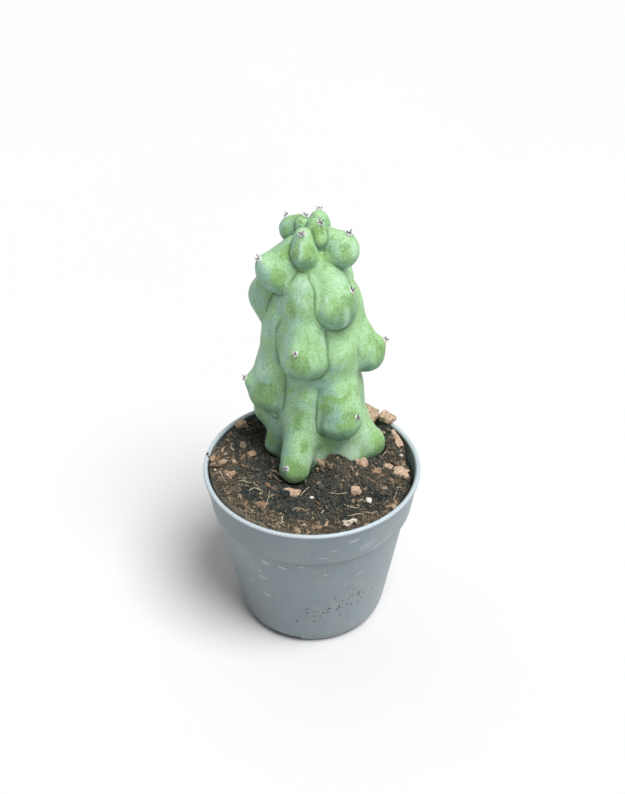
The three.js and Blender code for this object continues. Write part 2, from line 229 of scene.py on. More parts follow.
def stem_point(azimuth: float, reach: float, z: float) -> np.ndarray:
    """Point beside the leaning stem axis.

    Args:
        azimuth: Degrees from the front, growing toward +X.
        reach: Distance from the axis.
        z: Height.

    Returns:
        The point as x, y, z.
    """
    t = (z - STEM_BASE[2]) / (STEM_TIP[2] - STEM_BASE[2])
    a = math.radians(azimuth)
    return np.array([STEM_BASE[0] + (STEM_TIP[0] - STEM_BASE[0]) * t + reach * math.sin(a),
                     STEM_BASE[1] + (STEM_TIP[1] - STEM_BASE[1]) * t - reach * math.cos(a), z])


def compost_height(x: np.ndarray, y: np.ndarray) -> np.ndarray:
    """Height of the compost: heaped at the left, low at the right wall, mounded by the stem.

    Args:
        x: Places toward the right.
        y: Places toward the back.

    Returns:
        One height for each place.
    """
    r = np.hypot(x, y)
    h = SOIL_LEVEL + smooth01((r - 28) / 26) * (0.6 - 0.052 * x - 0.028 * y)
    for cx, cy, size, rise in MOUNDS:
        h = h + rise * np.exp(-((x - cx) ** 2 + (y - cy) ** 2) / size ** 2)
    h = h - 3 * smooth01((r - 52) / 3.6) * smooth01((x - 5) / 45)
    h = h + 0.8 * np.sin(x * 0.37 + 1.3 * np.sin(y * 0.21)) * np.sin(y * 0.33 + 0.8)
    return h + 0.4 * np.sin(x * 0.83 + y * 0.41) * np.cos(y * 0.77 - x * 0.29)


def turned(p: np.ndarray, angle: float) -> np.ndarray:
    """Points turned about the upright axis.

    Args:
        p: Points, one per row.
        angle: Turn in radians.

    Returns:
        The turned points.
    """
    c, s = math.cos(angle), math.sin(angle)
    return np.stack([p[:, 0] * c - p[:, 1] * s, p[:, 0] * s + p[:, 1] * c, p[:, 2]], -1)


# ------------------------------------------------------------------ mesh helpers

def new_object(name: str, data: bpy.types.ID) -> bpy.types.Object:
    """Puts a mesh, a light or a camera in the scene.

    Args:
        name: Name of the object.
        data: What it shows.

    Returns:
        The new object.
    """
    thing = bpy.data.objects.new(name, data)
    bpy.context.scene.collection.objects.link(thing)
    return thing


def mesh_object(name: str, mesh: bpy.types.Mesh, material: bpy.types.Material,
                nodes: tuple[str, ...] = ()) -> bpy.types.Object:
    """Puts a mesh in the scene as a finished piece of the object.

    Args:
        name: Name of the piece.
        mesh: Its mesh, in metres.
        material: Its material.
        nodes: CAD nodes that it stands for.

    Returns:
        The new object.
    """
    piece = new_object(name, mesh)
    mesh.materials.clear()
    mesh.materials.append(material)
    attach(piece, "root")
    if nodes:
        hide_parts(*nodes)
    LOG.info("%s: %d faces", name, len(mesh.polygons))
    return piece


def mesh_from_bmesh(name: str, bm: bmesh.types.BMesh) -> bpy.types.Mesh:
    """Turns a bmesh into a smooth mesh and frees it.

    Args:
        name: Name of the mesh.
        bm: Source, in metres.

    Returns:
        The new mesh.
    """
    mesh = bpy.data.meshes.new(name)
    bm.to_mesh(mesh)
    bm.free()
    mesh.polygons.foreach_set("use_smooth", [True] * len(mesh.polygons))
    mesh.update()
    return mesh


def mesh_from_arrays(name: str, points: np.ndarray, faces: np.ndarray,
                     smooth: bool = True) -> bpy.types.Mesh:
    """Builds a mesh from points and equal-sided faces.

    Args:
        name: Name of the mesh.
        points: Vertices in mm, one per row.
        faces: Vertex numbers, one face per row.
        smooth: Whether faces are shaded smooth.

    Returns:
        The new mesh, in metres.
    """
    corners = points[faces[:, :3]]
    if np.einsum("ij,ij->", corners[:, 0], np.cross(corners[:, 1], corners[:, 2])) < 0:
        faces = faces[:, ::-1]
    mesh = bpy.data.meshes.new(name)
    count, sides = faces.shape
    mesh.vertices.add(len(points))
    mesh.vertices.foreach_set("co", (points * MM).astype(np.float32).ravel())
    mesh.loops.add(count * sides)
    mesh.loops.foreach_set("vertex_index", faces.astype(np.int32).ravel())
    mesh.polygons.add(count)
    mesh.polygons.foreach_set("loop_start", np.arange(count, dtype=np.int32) * sides)
    mesh.polygons.foreach_set("use_smooth", [smooth] * count)
    mesh.update(calc_edges=True)
    return mesh


def set_attribute(mesh: bpy.types.Mesh, name: str, values: np.ndarray) -> None:
    """Stores one number per vertex for a material to read.

    Args:
        mesh: Mesh to write on.
        name: Attribute name.
        values: One value for each vertex.
    """
    layer = mesh.attributes.new(name, "FLOAT", "POINT")
    layer.data.foreach_set("value", values.astype(np.float32))


def mesh_points(mesh: bpy.types.Mesh) -> np.ndarray:
    """Reads a mesh's vertices.

    Args:
        mesh: Mesh in metres.

    Returns:
        Vertices in mm, one per row.
    """
    flat = np.empty(len(mesh.vertices) * 3)
    mesh.vertices.foreach_get("co", flat)
    return flat.reshape(-1, 3) / MM


def ball(subdivisions: int) -> tuple[np.ndarray, np.ndarray]:
    """Unit ball of even triangles.

    Args:
        subdivisions: How often the icosahedron's faces are split.

    Returns:
        Its points and its triangles.
    """
    bm = bmesh.new()
    bmesh.ops.create_icosphere(bm, subdivisions=subdivisions, radius=1.0)
    points = np.array([v.co for v in bm.verts])
    faces = np.array([[v.index for v in f.verts] for f in bm.faces])
    bm.free()
    return points, faces


@dataclass
class Heap:
    """Collects many small shapes into one mesh, each with its own tone."""

    points: list[np.ndarray] = field(default_factory=list)
    faces: list[np.ndarray] = field(default_factory=list)
    tones: list[np.ndarray] = field(default_factory=list)
    count: int = 0

    def add(self, points: np.ndarray, faces: np.ndarray, tones: np.ndarray) -> None:
        """Adds shapes that share their triangles.

        Args:
            points: Their vertices in mm: shapes, vertices, 3.
            faces: Triangles of one shape, numbered from zero.
            tones: One value in 0..1 for each shape, read by the material.
        """
        many, each, _ = points.shape
        starts = self.count + np.arange(many) * each
        self.points.append(points.reshape(-1, 3))
        self.faces.append((faces[None] + starts[:, None, None]).reshape(-1, 3))
        self.tones.append(np.repeat(tones, each))
        self.count += many * each

    def mesh(self, name: str, smooth: bool = True) -> bpy.types.Mesh:
        """Joins the shapes.

        Args:
            name: Name of the mesh.
            smooth: Whether faces are shaded smooth.

        Returns:
            One mesh with the attribute "tone".
        """
        mesh = mesh_from_arrays(name, np.concatenate(self.points), np.concatenate(self.faces),
                                smooth)
        set_attribute(mesh, "tone", np.concatenate(self.tones))
        return mesh


def tubes(paths: np.ndarray, radii: np.ndarray, sides: int) -> tuple[np.ndarray, np.ndarray]:
    """Closed thin tubes along paths, for fibres, wool and spines.

    Args:
        paths: Points in mm: tubes, points, 3.
        radii: Radius at each point: tubes, points.
        sides: Corners of the section.

    Returns:
        Their vertices, and the triangles of one tube.
    """
    along = np.gradient(paths, axis=1)
    along /= np.linalg.norm(along, axis=2, keepdims=True) + 1e-12
    steep = np.abs(along[:, :1, 2:]) > 0.9
    side = np.cross(along, np.where(steep, (1.0, 0.0, 0.0), (0.0, 0.0, 1.0)))
    side /= np.linalg.norm(side, axis=2, keepdims=True) + 1e-12
    up = np.cross(along, side)
    angles = (np.arange(sides) * 2 * math.pi / sides)[:, None]
    ring = np.cos(angles) * side[:, :, None, :] + np.sin(angles) * up[:, :, None, :]
    points = paths[:, :, None, :] + ring * radii[:, :, None, None]
    many, rows = radii.shape
    points = np.concatenate([points.reshape(many, -1, 3), paths[:, :1], paths[:, -1:]], axis=1)
    a = (np.arange(rows - 1)[:, None] * sides + np.arange(sides)).ravel()
    b = (np.arange(rows - 1)[:, None] * sides + (np.arange(sides) + 1) % sides).ravel()
    j = np.arange(sides)
    k = (j + 1) % sides
    first, last, top = rows * sides, rows * sides + 1, (rows - 1) * sides
    faces = [np.stack([a, b, b + sides], -1), np.stack([a, b + sides, a + sides], -1),
             np.stack([np.full(sides, first), k, j], -1),
             np.stack([np.full(sides, last), top + j, top + k], -1)]
    return points, np.concatenate(faces)


def spins(rng: np.random.Generator, count: int, tumble: float) -> np.ndarray:
    """Random rotations, mostly about the upright axis when tumble is small.

    Args:
        rng: Random source.
        count: How many.
        tumble: 0 keeps them level, 1 turns them freely.

    Returns:
        Rotation matrices: count, 3, 3.
    """
    q = np.stack([rng.standard_normal(count), tumble * rng.standard_normal(count),
                  tumble * rng.standard_normal(count), rng.standard_normal(count)], -1)
    w, x, y, z = (q / np.linalg.norm(q, axis=1, keepdims=True)).T
    return np.stack([
        np.stack([1 - 2 * (y * y + z * z), 2 * (x * y - w * z), 2 * (x * z + w * y)], -1),
        np.stack([2 * (x * y + w * z), 1 - 2 * (x * x + z * z), 2 * (y * z - w * x)], -1),
        np.stack([2 * (x * z - w * y), 2 * (y * z + w * x), 1 - 2 * (x * x + y * y)], -1)], 1)


# ------------------------------------------------------------------ materials

class Graph:
    """Builds one node material step by step."""

    def __init__(self, name: str) -> None:
        """Starts an empty material, with coordinates in mm.

        Args:
            name: Name of the material.
        """
        self.material = bpy.data.materials.new(name)
        self.material.use_nodes = True
        self.tree = self.material.node_tree
        self.shader = self.tree.nodes["Principled BSDF"]
        place = self.tree.nodes.new("ShaderNodeTexCoord")
        scale = self.tree.nodes.new("ShaderNodeVectorMath")
        scale.operation = "SCALE"
        scale.inputs["Scale"].default_value = 1.0 / MM
        self.tree.links.new(place.outputs["Object"], scale.inputs[0])
        self.place = scale.outputs[0]

    def link(self, source: Feed, target: Socket) -> None:
        """Joins an output, or sets a constant.

        Args:
            source: Output socket, number or colour.
            target: Input socket.
        """
        if isinstance(source, bpy.types.NodeSocket):
            self.tree.links.new(source, target)
        elif isinstance(source, tuple) and len(source) == 3 and target.type == "RGBA":
            target.default_value = (*source, 1.0)
        else:
            target.default_value = source

    def stretched(self, scale: Factors) -> Socket:
        """The object's own coordinates in mm, scaled.

        Args:
            scale: Factor on each axis.

        Returns:
            A vector output.
        """
        node = self.tree.nodes.new("ShaderNodeVectorMath")
        node.operation = "MULTIPLY"
        self.link(self.place, node.inputs[0])
        node.inputs[1].default_value = scale
        return node.outputs[0]

    def noise(self, scale: float, detail: float, rough: float, source: Socket | None = None,
              warp: float = 0.0) -> Socket:
        """Noise of a given fineness.

        Args:
            scale: Steps per mm.
            detail: Octaves.
            rough: Strength of the finer octaves.
            source: Coordinates, or none for the object's own.
            warp: Distortion.

        Returns:
            A value output around 0.5.
        """
        node = self.tree.nodes.new("ShaderNodeTexNoise")
        self.link(source or self.place, node.inputs["Vector"])
        node.inputs["Scale"].default_value = scale
        node.inputs["Detail"].default_value = detail
        node.inputs["Roughness"].default_value = rough
        node.inputs["Distortion"].default_value = warp
        return node.outputs["Fac"]

    def cells(self, scale: float) -> Socket:
        """Distance to the nearest of many scattered points.

        Args:
            scale: Points per mm.

        Returns:
            A value output, 0 at each point.
        """
        node = self.tree.nodes.new("ShaderNodeTexVoronoi")
        self.link(self.place, node.inputs["Vector"])
        node.inputs["Scale"].default_value = scale
        return node.outputs["Distance"]

    def attribute(self, name: str) -> Socket:
        """Reads a per-vertex value.

        Args:
            name: Attribute name.

        Returns:
            A value output.
        """
        node = self.tree.nodes.new("ShaderNodeAttribute")
        node.attribute_name = name
        return node.outputs["Fac"]

    def math(self, operation: str, a: Feed, b: Feed = 0.0) -> Socket:
        """Two-input arithmetic.

        Args:
            operation: Blender's operation name.
            a: First value.
            b: Second value.

        Returns:
            A value output.
        """
        node = self.tree.nodes.new("ShaderNodeMath")
        node.operation = operation
        self.link(a, node.inputs[0])
        self.link(b, node.inputs[1])
        return node.outputs[0]

    def times(self, a: Feed, b: Feed) -> Socket:
        """Product of two values."""
        return self.math("MULTIPLY", a, b)

    def swing(self, value: Feed, texture: Socket, strength: float) -> Socket:
        """Lets a texture push a value up and down.

        Args:
            value: Value to push.
            texture: Value output around 0.5.
            strength: Push where the texture is 1 over that middle.

        Returns:
            A value output.
        """
        push = self.times(self.math("SUBTRACT", texture, 0.5), strength)
        return self.math("ADD", value, push)

    def step(self, value: Feed, low: float, high: float, to_low: float = 0.0,
             to_high: float = 1.0) -> Socket:
        """Smooth clamped remap.

        Args:
            value: Value to remap.
            low: Value that gives to_low.
            high: Value that gives to_high.
            to_low: Result at low.
            to_high: Result at high.

        Returns:
            A value output.
        """
        node = self.tree.nodes.new("ShaderNodeMapRange")
        node.interpolation_type = "SMOOTHSTEP"
        self.link(value, node.inputs["Value"])
        node.inputs["From Min"].default_value = low
        node.inputs["From Max"].default_value = high
        node.inputs["To Min"].default_value = to_low
        node.inputs["To Max"].default_value = to_high
        return node.outputs["Result"]

    def mix(self, amount: Feed, a: Feed, b: Feed) -> Socket:
        """Mixes two colours.

        Args:
            amount: 0 for a, 1 for b.
            a: First colour.
            b: Second colour.

        Returns:
            A colour output.
        """
        node = self.tree.nodes.new("ShaderNodeMix")
        node.data_type = "RGBA"
        self.link(amount, node.inputs[0])
        self.link(a, node.inputs[6])
        self.link(b, node.inputs[7])
        return node.outputs[2]

    def blot(self, source: Socket, at: tuple[float, float], size: tuple[float, float],
             tilt: float, soft: float = 0.75) -> Socket:
        """Soft-edged ellipse.

        Args:
            source: Flat coordinates in mm.
            at: Its middle.
            size: Its half length and half width.
            tilt: Its turn, in degrees.
            soft: Share of its size that is solid.

        Returns:
            A value output, 1 inside.
        """
        node = self.tree.nodes.new("ShaderNodeMapping")
        node.vector_type = "TEXTURE"
        self.link(source, node.inputs["Vector"])
        node.inputs["Location"].default_value = (*at, 0.0)
        node.inputs["Rotation"].default_value = (0.0, 0.0, math.radians(tilt))
        node.inputs["Scale"].default_value = (*size, 1.0)
        reach = self.tree.nodes.new("ShaderNodeVectorMath")
        reach.operation = "LENGTH"
        self.link(node.outputs[0], reach.inputs[0])
        return self.step(reach.outputs["Value"], 1.0, soft)

    def bump(self, height: Feed, strength: float, depth: float,
             under: Socket | None = None) -> Socket:
        """Bump normal.

        Args:
            height: Height value.
            strength: 0 to 1.
            depth: Depth of a height of 1, in mm.
            under: Normal of a coarser bump below this one.

        Returns:
            A normal output.
        """
        node = self.tree.nodes.new("ShaderNodeBump")
        node.inputs["Strength"].default_value = strength
        node.inputs["Distance"].default_value = depth * MM
        self.link(height, node.inputs["Height"])
        if under is not None:
            self.link(under, node.inputs["Normal"])
        return node.outputs["Normal"]

    def finish(self, color: Feed, roughness: Feed, normal: Socket | None = None,
               **constants: float) -> bpy.types.Material:
        """Fills the shader.

        Args:
            color: Base colour.
            roughness: Roughness.
            normal: Bump normal, or none.
            **constants: Other shader inputs, by name with underscores.

        Returns:
            The finished material.
        """
        self.link(color, self.shader.inputs["Base Color"])
        self.link(roughness, self.shader.inputs["Roughness"])
        if normal is not None:
            self.link(normal, self.shader.inputs["Normal"])
        for name, value in constants.items():
            self.shader.inputs[name.replace("_", " ")].default_value = value
        return self.material


@dataclass(frozen=True)
class SkinFinish:
    """Waxy bloom over green skin: thick in places, rubbed away in others.
    Painted shade darkens the undersides, hollows and creases, faces turned from the key light take
    a bluer painted shade tint, and the keels carry a painted highlight.
    """

    bloom: Rgb = (0.425, 0.73, 0.365)
    bloom_blue: Rgb = (0.31, 0.56, 0.43)
    leaf: Rgb = (0.32, 0.60, 0.195)
    thick: Rgb = (0.69, 0.93, 0.75)
    rubbed: Rgb = (0.285, 0.535, 0.14)
    rubbed_deep: Rgb = (0.155, 0.325, 0.09)
    # shaded and crease are colours of painted shade: under the lobes, in hollows, in creases and
    # folds.
    shaded: Rgb = (0.12, 0.27, 0.16)
    crease: Rgb = (0.07, 0.15, 0.06)
    fleck: Rgb = (0.80, 0.92, 0.80)

    def build(self) -> bpy.types.Material:
        """Returns:
            The skin's material.
        """
        g = Graph("cactus_skin")
        wide = g.noise(0.045, 4, 0.55, warp=0.6)
        mottle = g.noise(0.15, 9, 0.68, warp=0.5)
        grainy = g.noise(0.6, 6, 0.72)
        fine = g.noise(1.7, 4, 0.65)
        streak = g.noise(1.0, 5, 0.62, g.stretched((0.50, 0.50, 0.11)), 0.6)
        wear = g.swing(g.attribute("rub"), mottle, 2.5)
        wear = g.swing(wear, streak, 1.3)
        wear = g.swing(wear, grainy, 1.5)
        # Painted light and shade: faces turned toward the key light take the yellower bloom, faces
        # turned away and the cool patches the bluer, shaded bloom; wide noise also mixes them at
        # random.
        tint = g.swing(g.attribute("sunny"), wide, 2.4)
        color = g.mix(g.step(tint, 0.1, 0.9), self.bloom_blue, self.bloom)
        veil = g.swing(g.noise(0.075, 8, 0.66, warp=0.9), streak, 0.35)
        color = g.mix(g.step(veil, 0.47, 0.60, 0.0, 0.75), color, self.leaf)
        color = g.mix(g.step(grainy, 0.48, 0.7, 0.0, 0.42), color, self.thick)
        color = g.mix(g.step(grainy, 0.5, 0.3, 0.0, 0.3), color, self.rubbed)
        green = g.mix(g.step(g.noise(0.13, 7, 0.7), 0.42, 0.68), self.rubbed, self.rubbed_deep)
        color = g.mix(g.step(wear, 0.12, 0.66, 0.0, 0.92), color, green)
        color = g.mix(g.step(wear, 0.9, 1.9, 0.0, 0.7), color, self.rubbed_deep)
        caked = g.times(g.step(wear, -0.1, -1.4, 0.0, 0.85), g.step(grainy, 0.36, 0.58, 0.4, 1.0))
        color = g.mix(caked, color, self.thick)
        scratch = g.noise(1.0, 2, 0.5, g.stretched((1.5, 1.5, 0.16)), 0.5)
        color = g.mix(g.step(scratch, 0.66, 0.76, 0.0, 0.45), color, self.thick)
        fleck = g.times(g.step(g.cells(0.42), 0.14, 0.05), g.step(mottle, 0.42, 0.56))
        color = g.mix(g.times(fleck, 0.75), color, self.fleck)
        pore = g.times(g.step(g.cells(0.55), 0.1, 0.04), g.step(wide, 0.45, 0.55))
        color = g.mix(g.times(pore, 0.5), color, self.rubbed_deep)
        color = g.mix(g.step(fine, 0.5, 0.3, 0.0, 0.6), color, self.rubbed_deep)
        color = g.mix(g.step(fine, 0.5, 0.68, 0.0, 0.55), color, self.thick)
        # Painted shade under the lobes and in hollows.
        under_shade = g.times(g.attribute("under"), g.step(mottle, 0.3, 0.62, 0.4, 1.0))
        color = g.mix(g.times(under_shade, 0.85), color, self.shaded)
        # Painted highlight along the keels.
        color = g.mix(g.times(g.attribute("keel_highlight"), 0.7), color, self.thick)
        # Painted shade in the creases between lobes and along the second folds.
        color = g.mix(g.attribute("crease"), color, self.crease)
        under = g.bump(fine, 0.35, 0.12)
        normal = g.bump(mottle, 0.5, 0.5, under)
        rough = g.step(grainy, 0.3, 0.7, 0.42, 0.60)
        return g.finish(color, rough, normal, Subsurface_Weight=0.08, Subsurface_Scale=0.003,
                        Specular_IOR_Level=0.45)


# Pale scuffs on the wall: azimuth, height, half length, half width, tilt and hollowness.
SCUFFS = (
    (-28.8, 68.8, 2.9, 1.6, -12, 0.0), (-17.6, 68.6, 2.9, 1.2, -8, 0.2),
    (-34.6, 59.1, 1.5, 1.5, -20, 0.3), (-32.7, 54.5, 2.9, 1.7, -18, 0.7),
    (-31.5, 39.4, 3.2, 1.5, -16, 0.5), (-43.3, 46.4, 2.8, 1.3, -40, 0.7),
    (-48.0, 29.3, 2.2, 1.0, -60, 0.6), (-6.5, 71.6, 1.8, 1.0, -5, 0.5),
    (7.8, 64.6, 1.2, 0.9, 0, 0.2), (30.1, 59.0, 3.2, 0.7, 28, 0.0),
    (6.0, 81.8, 3.0, 0.5, -6, 0.0), (31.0, 84.5, 6.0, 3.2, 20, 0.0),
    (22.0, 92.0, 3.2, 1.4, 10, 0.3), (46.0, 82.0, 5.5, 2.2, 14, 0.0),
    (38.0, 79.5, 4.0, 0.8, 10, 0.0), (52.0, 88.0, 5.2, 1.5, 16, 0.0),
    (12.0, 87.0, 2.2, 0.5, 4, 0.0), (-50.0, 66.0, 2.2, 1.1, -30, 0.6),
)


@dataclass(frozen=True)
class PotFinish:
    """Moulded blue-grey plastic with pale scuffs and soil specks, painted light on its right side,
    painted shade low on its left, on its left collar and lip and under the collar, and a painted
    highlight on the top of the lip.
    """

    base: Rgb = (0.232, 0.288, 0.313)
    shade: Rgb = (0.205, 0.256, 0.278)
    warm: Rgb = (0.26, 0.295, 0.30)
    lit_side: Rgb = (0.36, 0.425, 0.45)
    scuff: Rgb = (0.46, 0.53, 0.56)
    dirt: Rgb = (0.06, 0.05, 0.045)
    # Pale of the painted highlight on the top of the lip.
    rim: Rgb = (0.60, 0.69, 0.74)
    # Near-black of the painted shade: under the collar, and on the left of the wall and collar.
    corner: Rgb = (0.055, 0.07, 0.08)
    girth: float = 50.0

    def build(self) -> bpy.types.Material:
        """Returns:
            The pot's material.
        """
        g = Graph("pot_plastic")
        parts = g.tree.nodes.new("ShaderNodeSeparateXYZ")
        g.link(g.place, parts.inputs[0])
        turn = g.math("ARCTAN2", parts.outputs[0], g.times(parts.outputs[1], -1.0))
        wall = g.tree.nodes.new("ShaderNodeCombineXYZ")
        g.link(g.times(turn, self.girth), wall.inputs[0])
        g.link(parts.outputs[2], wall.inputs[1])
        cloud = g.noise(0.03, 5, 0.6, warp=0.5)
        color = g.mix(g.step(cloud, 0.3, 0.7), self.shade, self.base)
        color = g.mix(g.step(g.noise(0.05, 4, 0.6), 0.45, 0.75, 0.0, 0.8), color, self.warm)
        side = g.math("SINE", turn)
        # Painted light: the wall grows lighter towards the right side.
        color = g.mix(g.step(side, 0.15, 1.0, 0.0, 0.55), color, self.lit_side)
        # Painted shade: the left side darkens towards the bottom.
        shaded_side = g.times(g.step(side, -0.2, -0.9), g.step(parts.outputs[2], 70.0, 15.0))
        color = g.mix(g.times(shaded_side, 0.42), color, self.corner)
        # Painted shade on the collar and lip at the left side.
        shaded_collar = g.times(g.step(side, -0.1, -0.8), g.step(parts.outputs[2], 76.0, 77.5))
        color = g.mix(g.times(shaded_collar, 0.26), color, self.corner)
        fine = g.noise(1.6, 3, 0.6)
        color = g.mix(g.step(fine, 0.35, 0.7, 0.0, 0.10), color, self.scuff)
        worn = g.times(g.step(g.noise(0.16, 3, 0.6, warp=1.2), 0.64, 0.74),
                       g.step(fine, 0.42, 0.6))
        color = g.mix(g.times(worn, 0.35), color, self.scuff)
        run = g.noise(1.0, 4, 0.6, g.stretched((0.5, 0.5, 0.045)), 0.3)
        color = g.mix(g.step(run, 0.58, 0.72, 0.0, 0.16), color, self.scuff)
        ragged = g.step(g.noise(0.9, 3, 0.6), 0.30, 0.48)
        for azimuth, height, length, width, tilt, hollow in SCUFFS:
            at = (math.radians(azimuth) * self.girth, height)
            mark = g.blot(wall.outputs[0], at, (length, width), tilt, 0.55)
            if hollow:
                inner = g.blot(wall.outputs[0], (at[0], at[1] + width * (1.6 - hollow)),
                               (length * 0.95, width), tilt)
                mark = g.times(mark, g.math("SUBTRACT", 1.0, inner))
            strength = 0.35 if length > 5 else 0.72
            amount = g.times(g.times(mark, ragged), strength)
            color = g.mix(amount, color, self.scuff)
        rare = g.times(g.step(g.cells(0.11), 0.06, 0.035), 0.6)
        color = g.mix(rare, color, self.dirt)
        color = g.mix(g.attribute("dust"), color, self.dirt)
        # Painted shadow in the corner under the collar.
        color = g.mix(g.attribute("corner"), color, self.corner)
        # Painted highlight on the top of the lip.
        color = g.mix(g.attribute("rim"), color, self.rim)
        dusty = g.times(g.attribute("rim"), g.step(g.noise(0.9, 4, 0.7), 0.52, 0.68, 0.0, 0.6))
        color = g.mix(dusty, color, self.warm)
        grain = g.bump(g.noise(3.2, 3, 0.6), 0.12, 0.05)
        normal = g.bump(g.noise(0.12, 2, 0.5), 0.3, 0.3, grain)
        rough = g.step(fine, 0.3, 0.7, 0.40, 0.50)
        return g.finish(color, rough, normal, Specular_IOR_Level=0.5, IOR=1.49)


@dataclass(frozen=True)
class EarthFinish:
    """Peat or bark: one dark and one light colour, chosen by each crumb's tone, with painted shade
    in the low places of its bump.
    """

    name: str
    dark: Rgb
    light: Rgb
    warm: Rgb
    fine: float = 1.4
    depth: float = 0.35
    # Colour of the painted shade in the low places of the bump.
    hollow: Rgb = (0.010, 0.011, 0.010)

    def build(self) -> bpy.types.Material:
        """Returns:
            The material of these crumbs.
        """
        g = Graph(self.name)
        flake = g.noise(self.fine, 6, 0.7)
        grain = g.noise(self.fine * 0.3, 4, 0.65)
        tone = g.swing(g.attribute("tone"), grain, 0.9)
        color = g.mix(g.step(tone, 0.0, 1.0), self.dark, self.light)
        color = g.mix(g.step(g.noise(self.fine * 0.6, 3, 0.6), 0.5, 0.68, 0.0, 0.7), color, self.warm)
        # Painted shade in the low places of the bump.
        color = g.mix(g.step(flake, 0.36, 0.58, 0.75, 0.0), color, self.hollow)
        normal = g.bump(flake, 0.9, self.depth)
        return g.finish(color, 0.95, normal, Specular_IOR_Level=0.2)


@dataclass(frozen=True)
class PlainFinish:
    """Small even pieces such as spines, wool and pale stones."""

    name: str
    dark: Rgb
    light: Rgb
    roughness: float = 0.6
    fine: float = 2.5
    glow: float = 0.0

    def build(self) -> bpy.types.Material:
        """Returns:
            The material of these pieces.
        """
        g = Graph(self.name)
        spread = g.noise(self.fine, 3, 0.6)
        mixed = g.math("ADD", g.times(g.attribute("tone"), 0.7), g.times(spread, 0.4))
        color = g.mix(g.step(mixed, 0.2, 0.8), self.dark, self.light)
        return g.finish(color, self.roughness, g.bump(spread, 0.4, 0.1),
                        Subsurface_Weight=self.glow, Subsurface_Scale=0.001)


# ------------------------------------------------------------------ the cactus

@dataclass(frozen=True)
class Lobe:
    """One drooping lobe: belly, root, how it blends and where its pad sits."""

    name: str
    az: float
    z: float
    reach: float
    radius: float
    root_az: float
    root_z: float
    root_reach: float
    root_radius: float
    tip_blend: float
    root_blend: float
    blend_run: float
    pad_az: float
    pad_el: float
    beak: float

    @property
    def belly(self) -> np.ndarray:
        """Returns:
            The middle of the belly.
        """
        return stem_point(self.az, self.reach, self.z)

    @property
    def root(self) -> np.ndarray:
        """Returns:
            The middle of the root.
        """
        return stem_point(self.root_az, self.root_reach, self.root_z)

    def blend_width(self, place: np.ndarray) -> np.ndarray:
        """How widely the lobe flows into what it meets: wide at the root, tight at the belly.

        Args:
            place: Places along the lobe, 0 at the root.

        Returns:
            One width in mm for each place.
        """
        return self.root_blend + (self.tip_blend - self.root_blend) * smooth01(place / self.blend_run)


LOBES = tuple(Lobe(*row) for row in (
    ("right_back_low", 150, 101, 21.5, 11, 150, 130, 13, 10, 2, 12, 0.9, 150, 30, 0),
    ("right_back_mid", 152, 150, 25, 12, 152, 184, 12, 10, 0.9, 14, 0.8, 152, 35, 0),
    ("right_back_high", 148, 198, 19, 11.5, 148, 220, 8, 8, 0.9, 10, 0.7, 150, 38, 0),
    ("left_back_low", -142, 101, 25, 11.5, -142, 130, 14, 10, 2, 12, 0.9, -142, 30, 0),
    ("left_back_mid", -106, 117.5, 27, 11.5, -112, 156, 14, 10.5, 0.9, 14, 0.8, -112, 30, 0),
    ("left_back_high", -106, 191.5, 24.3, 11.2, -100, 215, 10, 9, 0.9, 10, 0.7, -158, 36, 0),
    ("left_low", -76, 102, 26.6, 6.5, -80, 125, 13, 12, 5, 14, 1.2, -145, 5, 0),
    ("left_mid", -77.5, 139, 26.2, 13.2, -78, 182, 12.2, 12.6, 0.9, 14, 0.7, -84, 31, 2.2),
    ("left_high", -70, 213.0, 19.3, 10.3, -52, 224.6, 8.5, 7.8, 0.9, 5, 0.4, -67, 46, 1.0),
    ("right_low", 80, 100.5, 27.4, 9.2, 80, 122, 9.0, 9.4, 6, 12, 1.0, 150, 6, 0.4),
    ("right_mid", 85, 160.5, 26, 11, 84, 190, 9.5, 12, 0.9, 14, 0.85, 88, 38, 1.5),
    ("right_high", 70, 224.2, 16.2, 9.7, 70, 228.4, 9, 7.5, 0.9, 3, 0.3, 62, 66, 0.5),
    ("front_low", -27, 102, 32.8, 8.4, -26, 138, 13, 11, 2.5, 12, 0.95, -37, 33, 0),
    ("front_mid", -18.7, 169.2, 21.6, 12.2, -8, 203.5, 11.5, 11.0, 0.9, 12, 0.6, -18, 41, 0.8),
    ("front_high", -14, 226.4, 12.2, 7.5, -15, 234.0, 10.4, 5.3, 0.5, 1.2, 0.2, -17, 80, 0),
    ("middle_low", 28.5, 130.2, 23.4, 12.4, 38, 166, 13, 12, 0.9, 14, 0.6, 51, 27, 0),
    ("middle_mid", 34.5, 198, 19.6, 12, 33, 219.5, 8.6, 8.4, 0.9, 3.5, 0.25, 72, 50, 0.5),
    ("middle_high", 31, 231.6, 8.9, 5.5, 33, 237.6, 6.8, 4.8, 0.6, 2, 0.2, 48, 84, 0),
    ("crown_left", -119, 230.9, 9.4, 7.3, -116, 234.2, 5, 6, 0.6, 3, 0.3, -120, 62, 0),
    ("crown_back", -74, 235.2, 3.6, 4.4, -74, 236.8, 3.2, 4, 0.6, 2, 0.3, 120, 72, 0),
    ("crown_right", 146, 232.4, 8.6, 6.3, 142, 235, 8, 5.2, 0.6, 2, 0.3, 170, 72, 0),
))
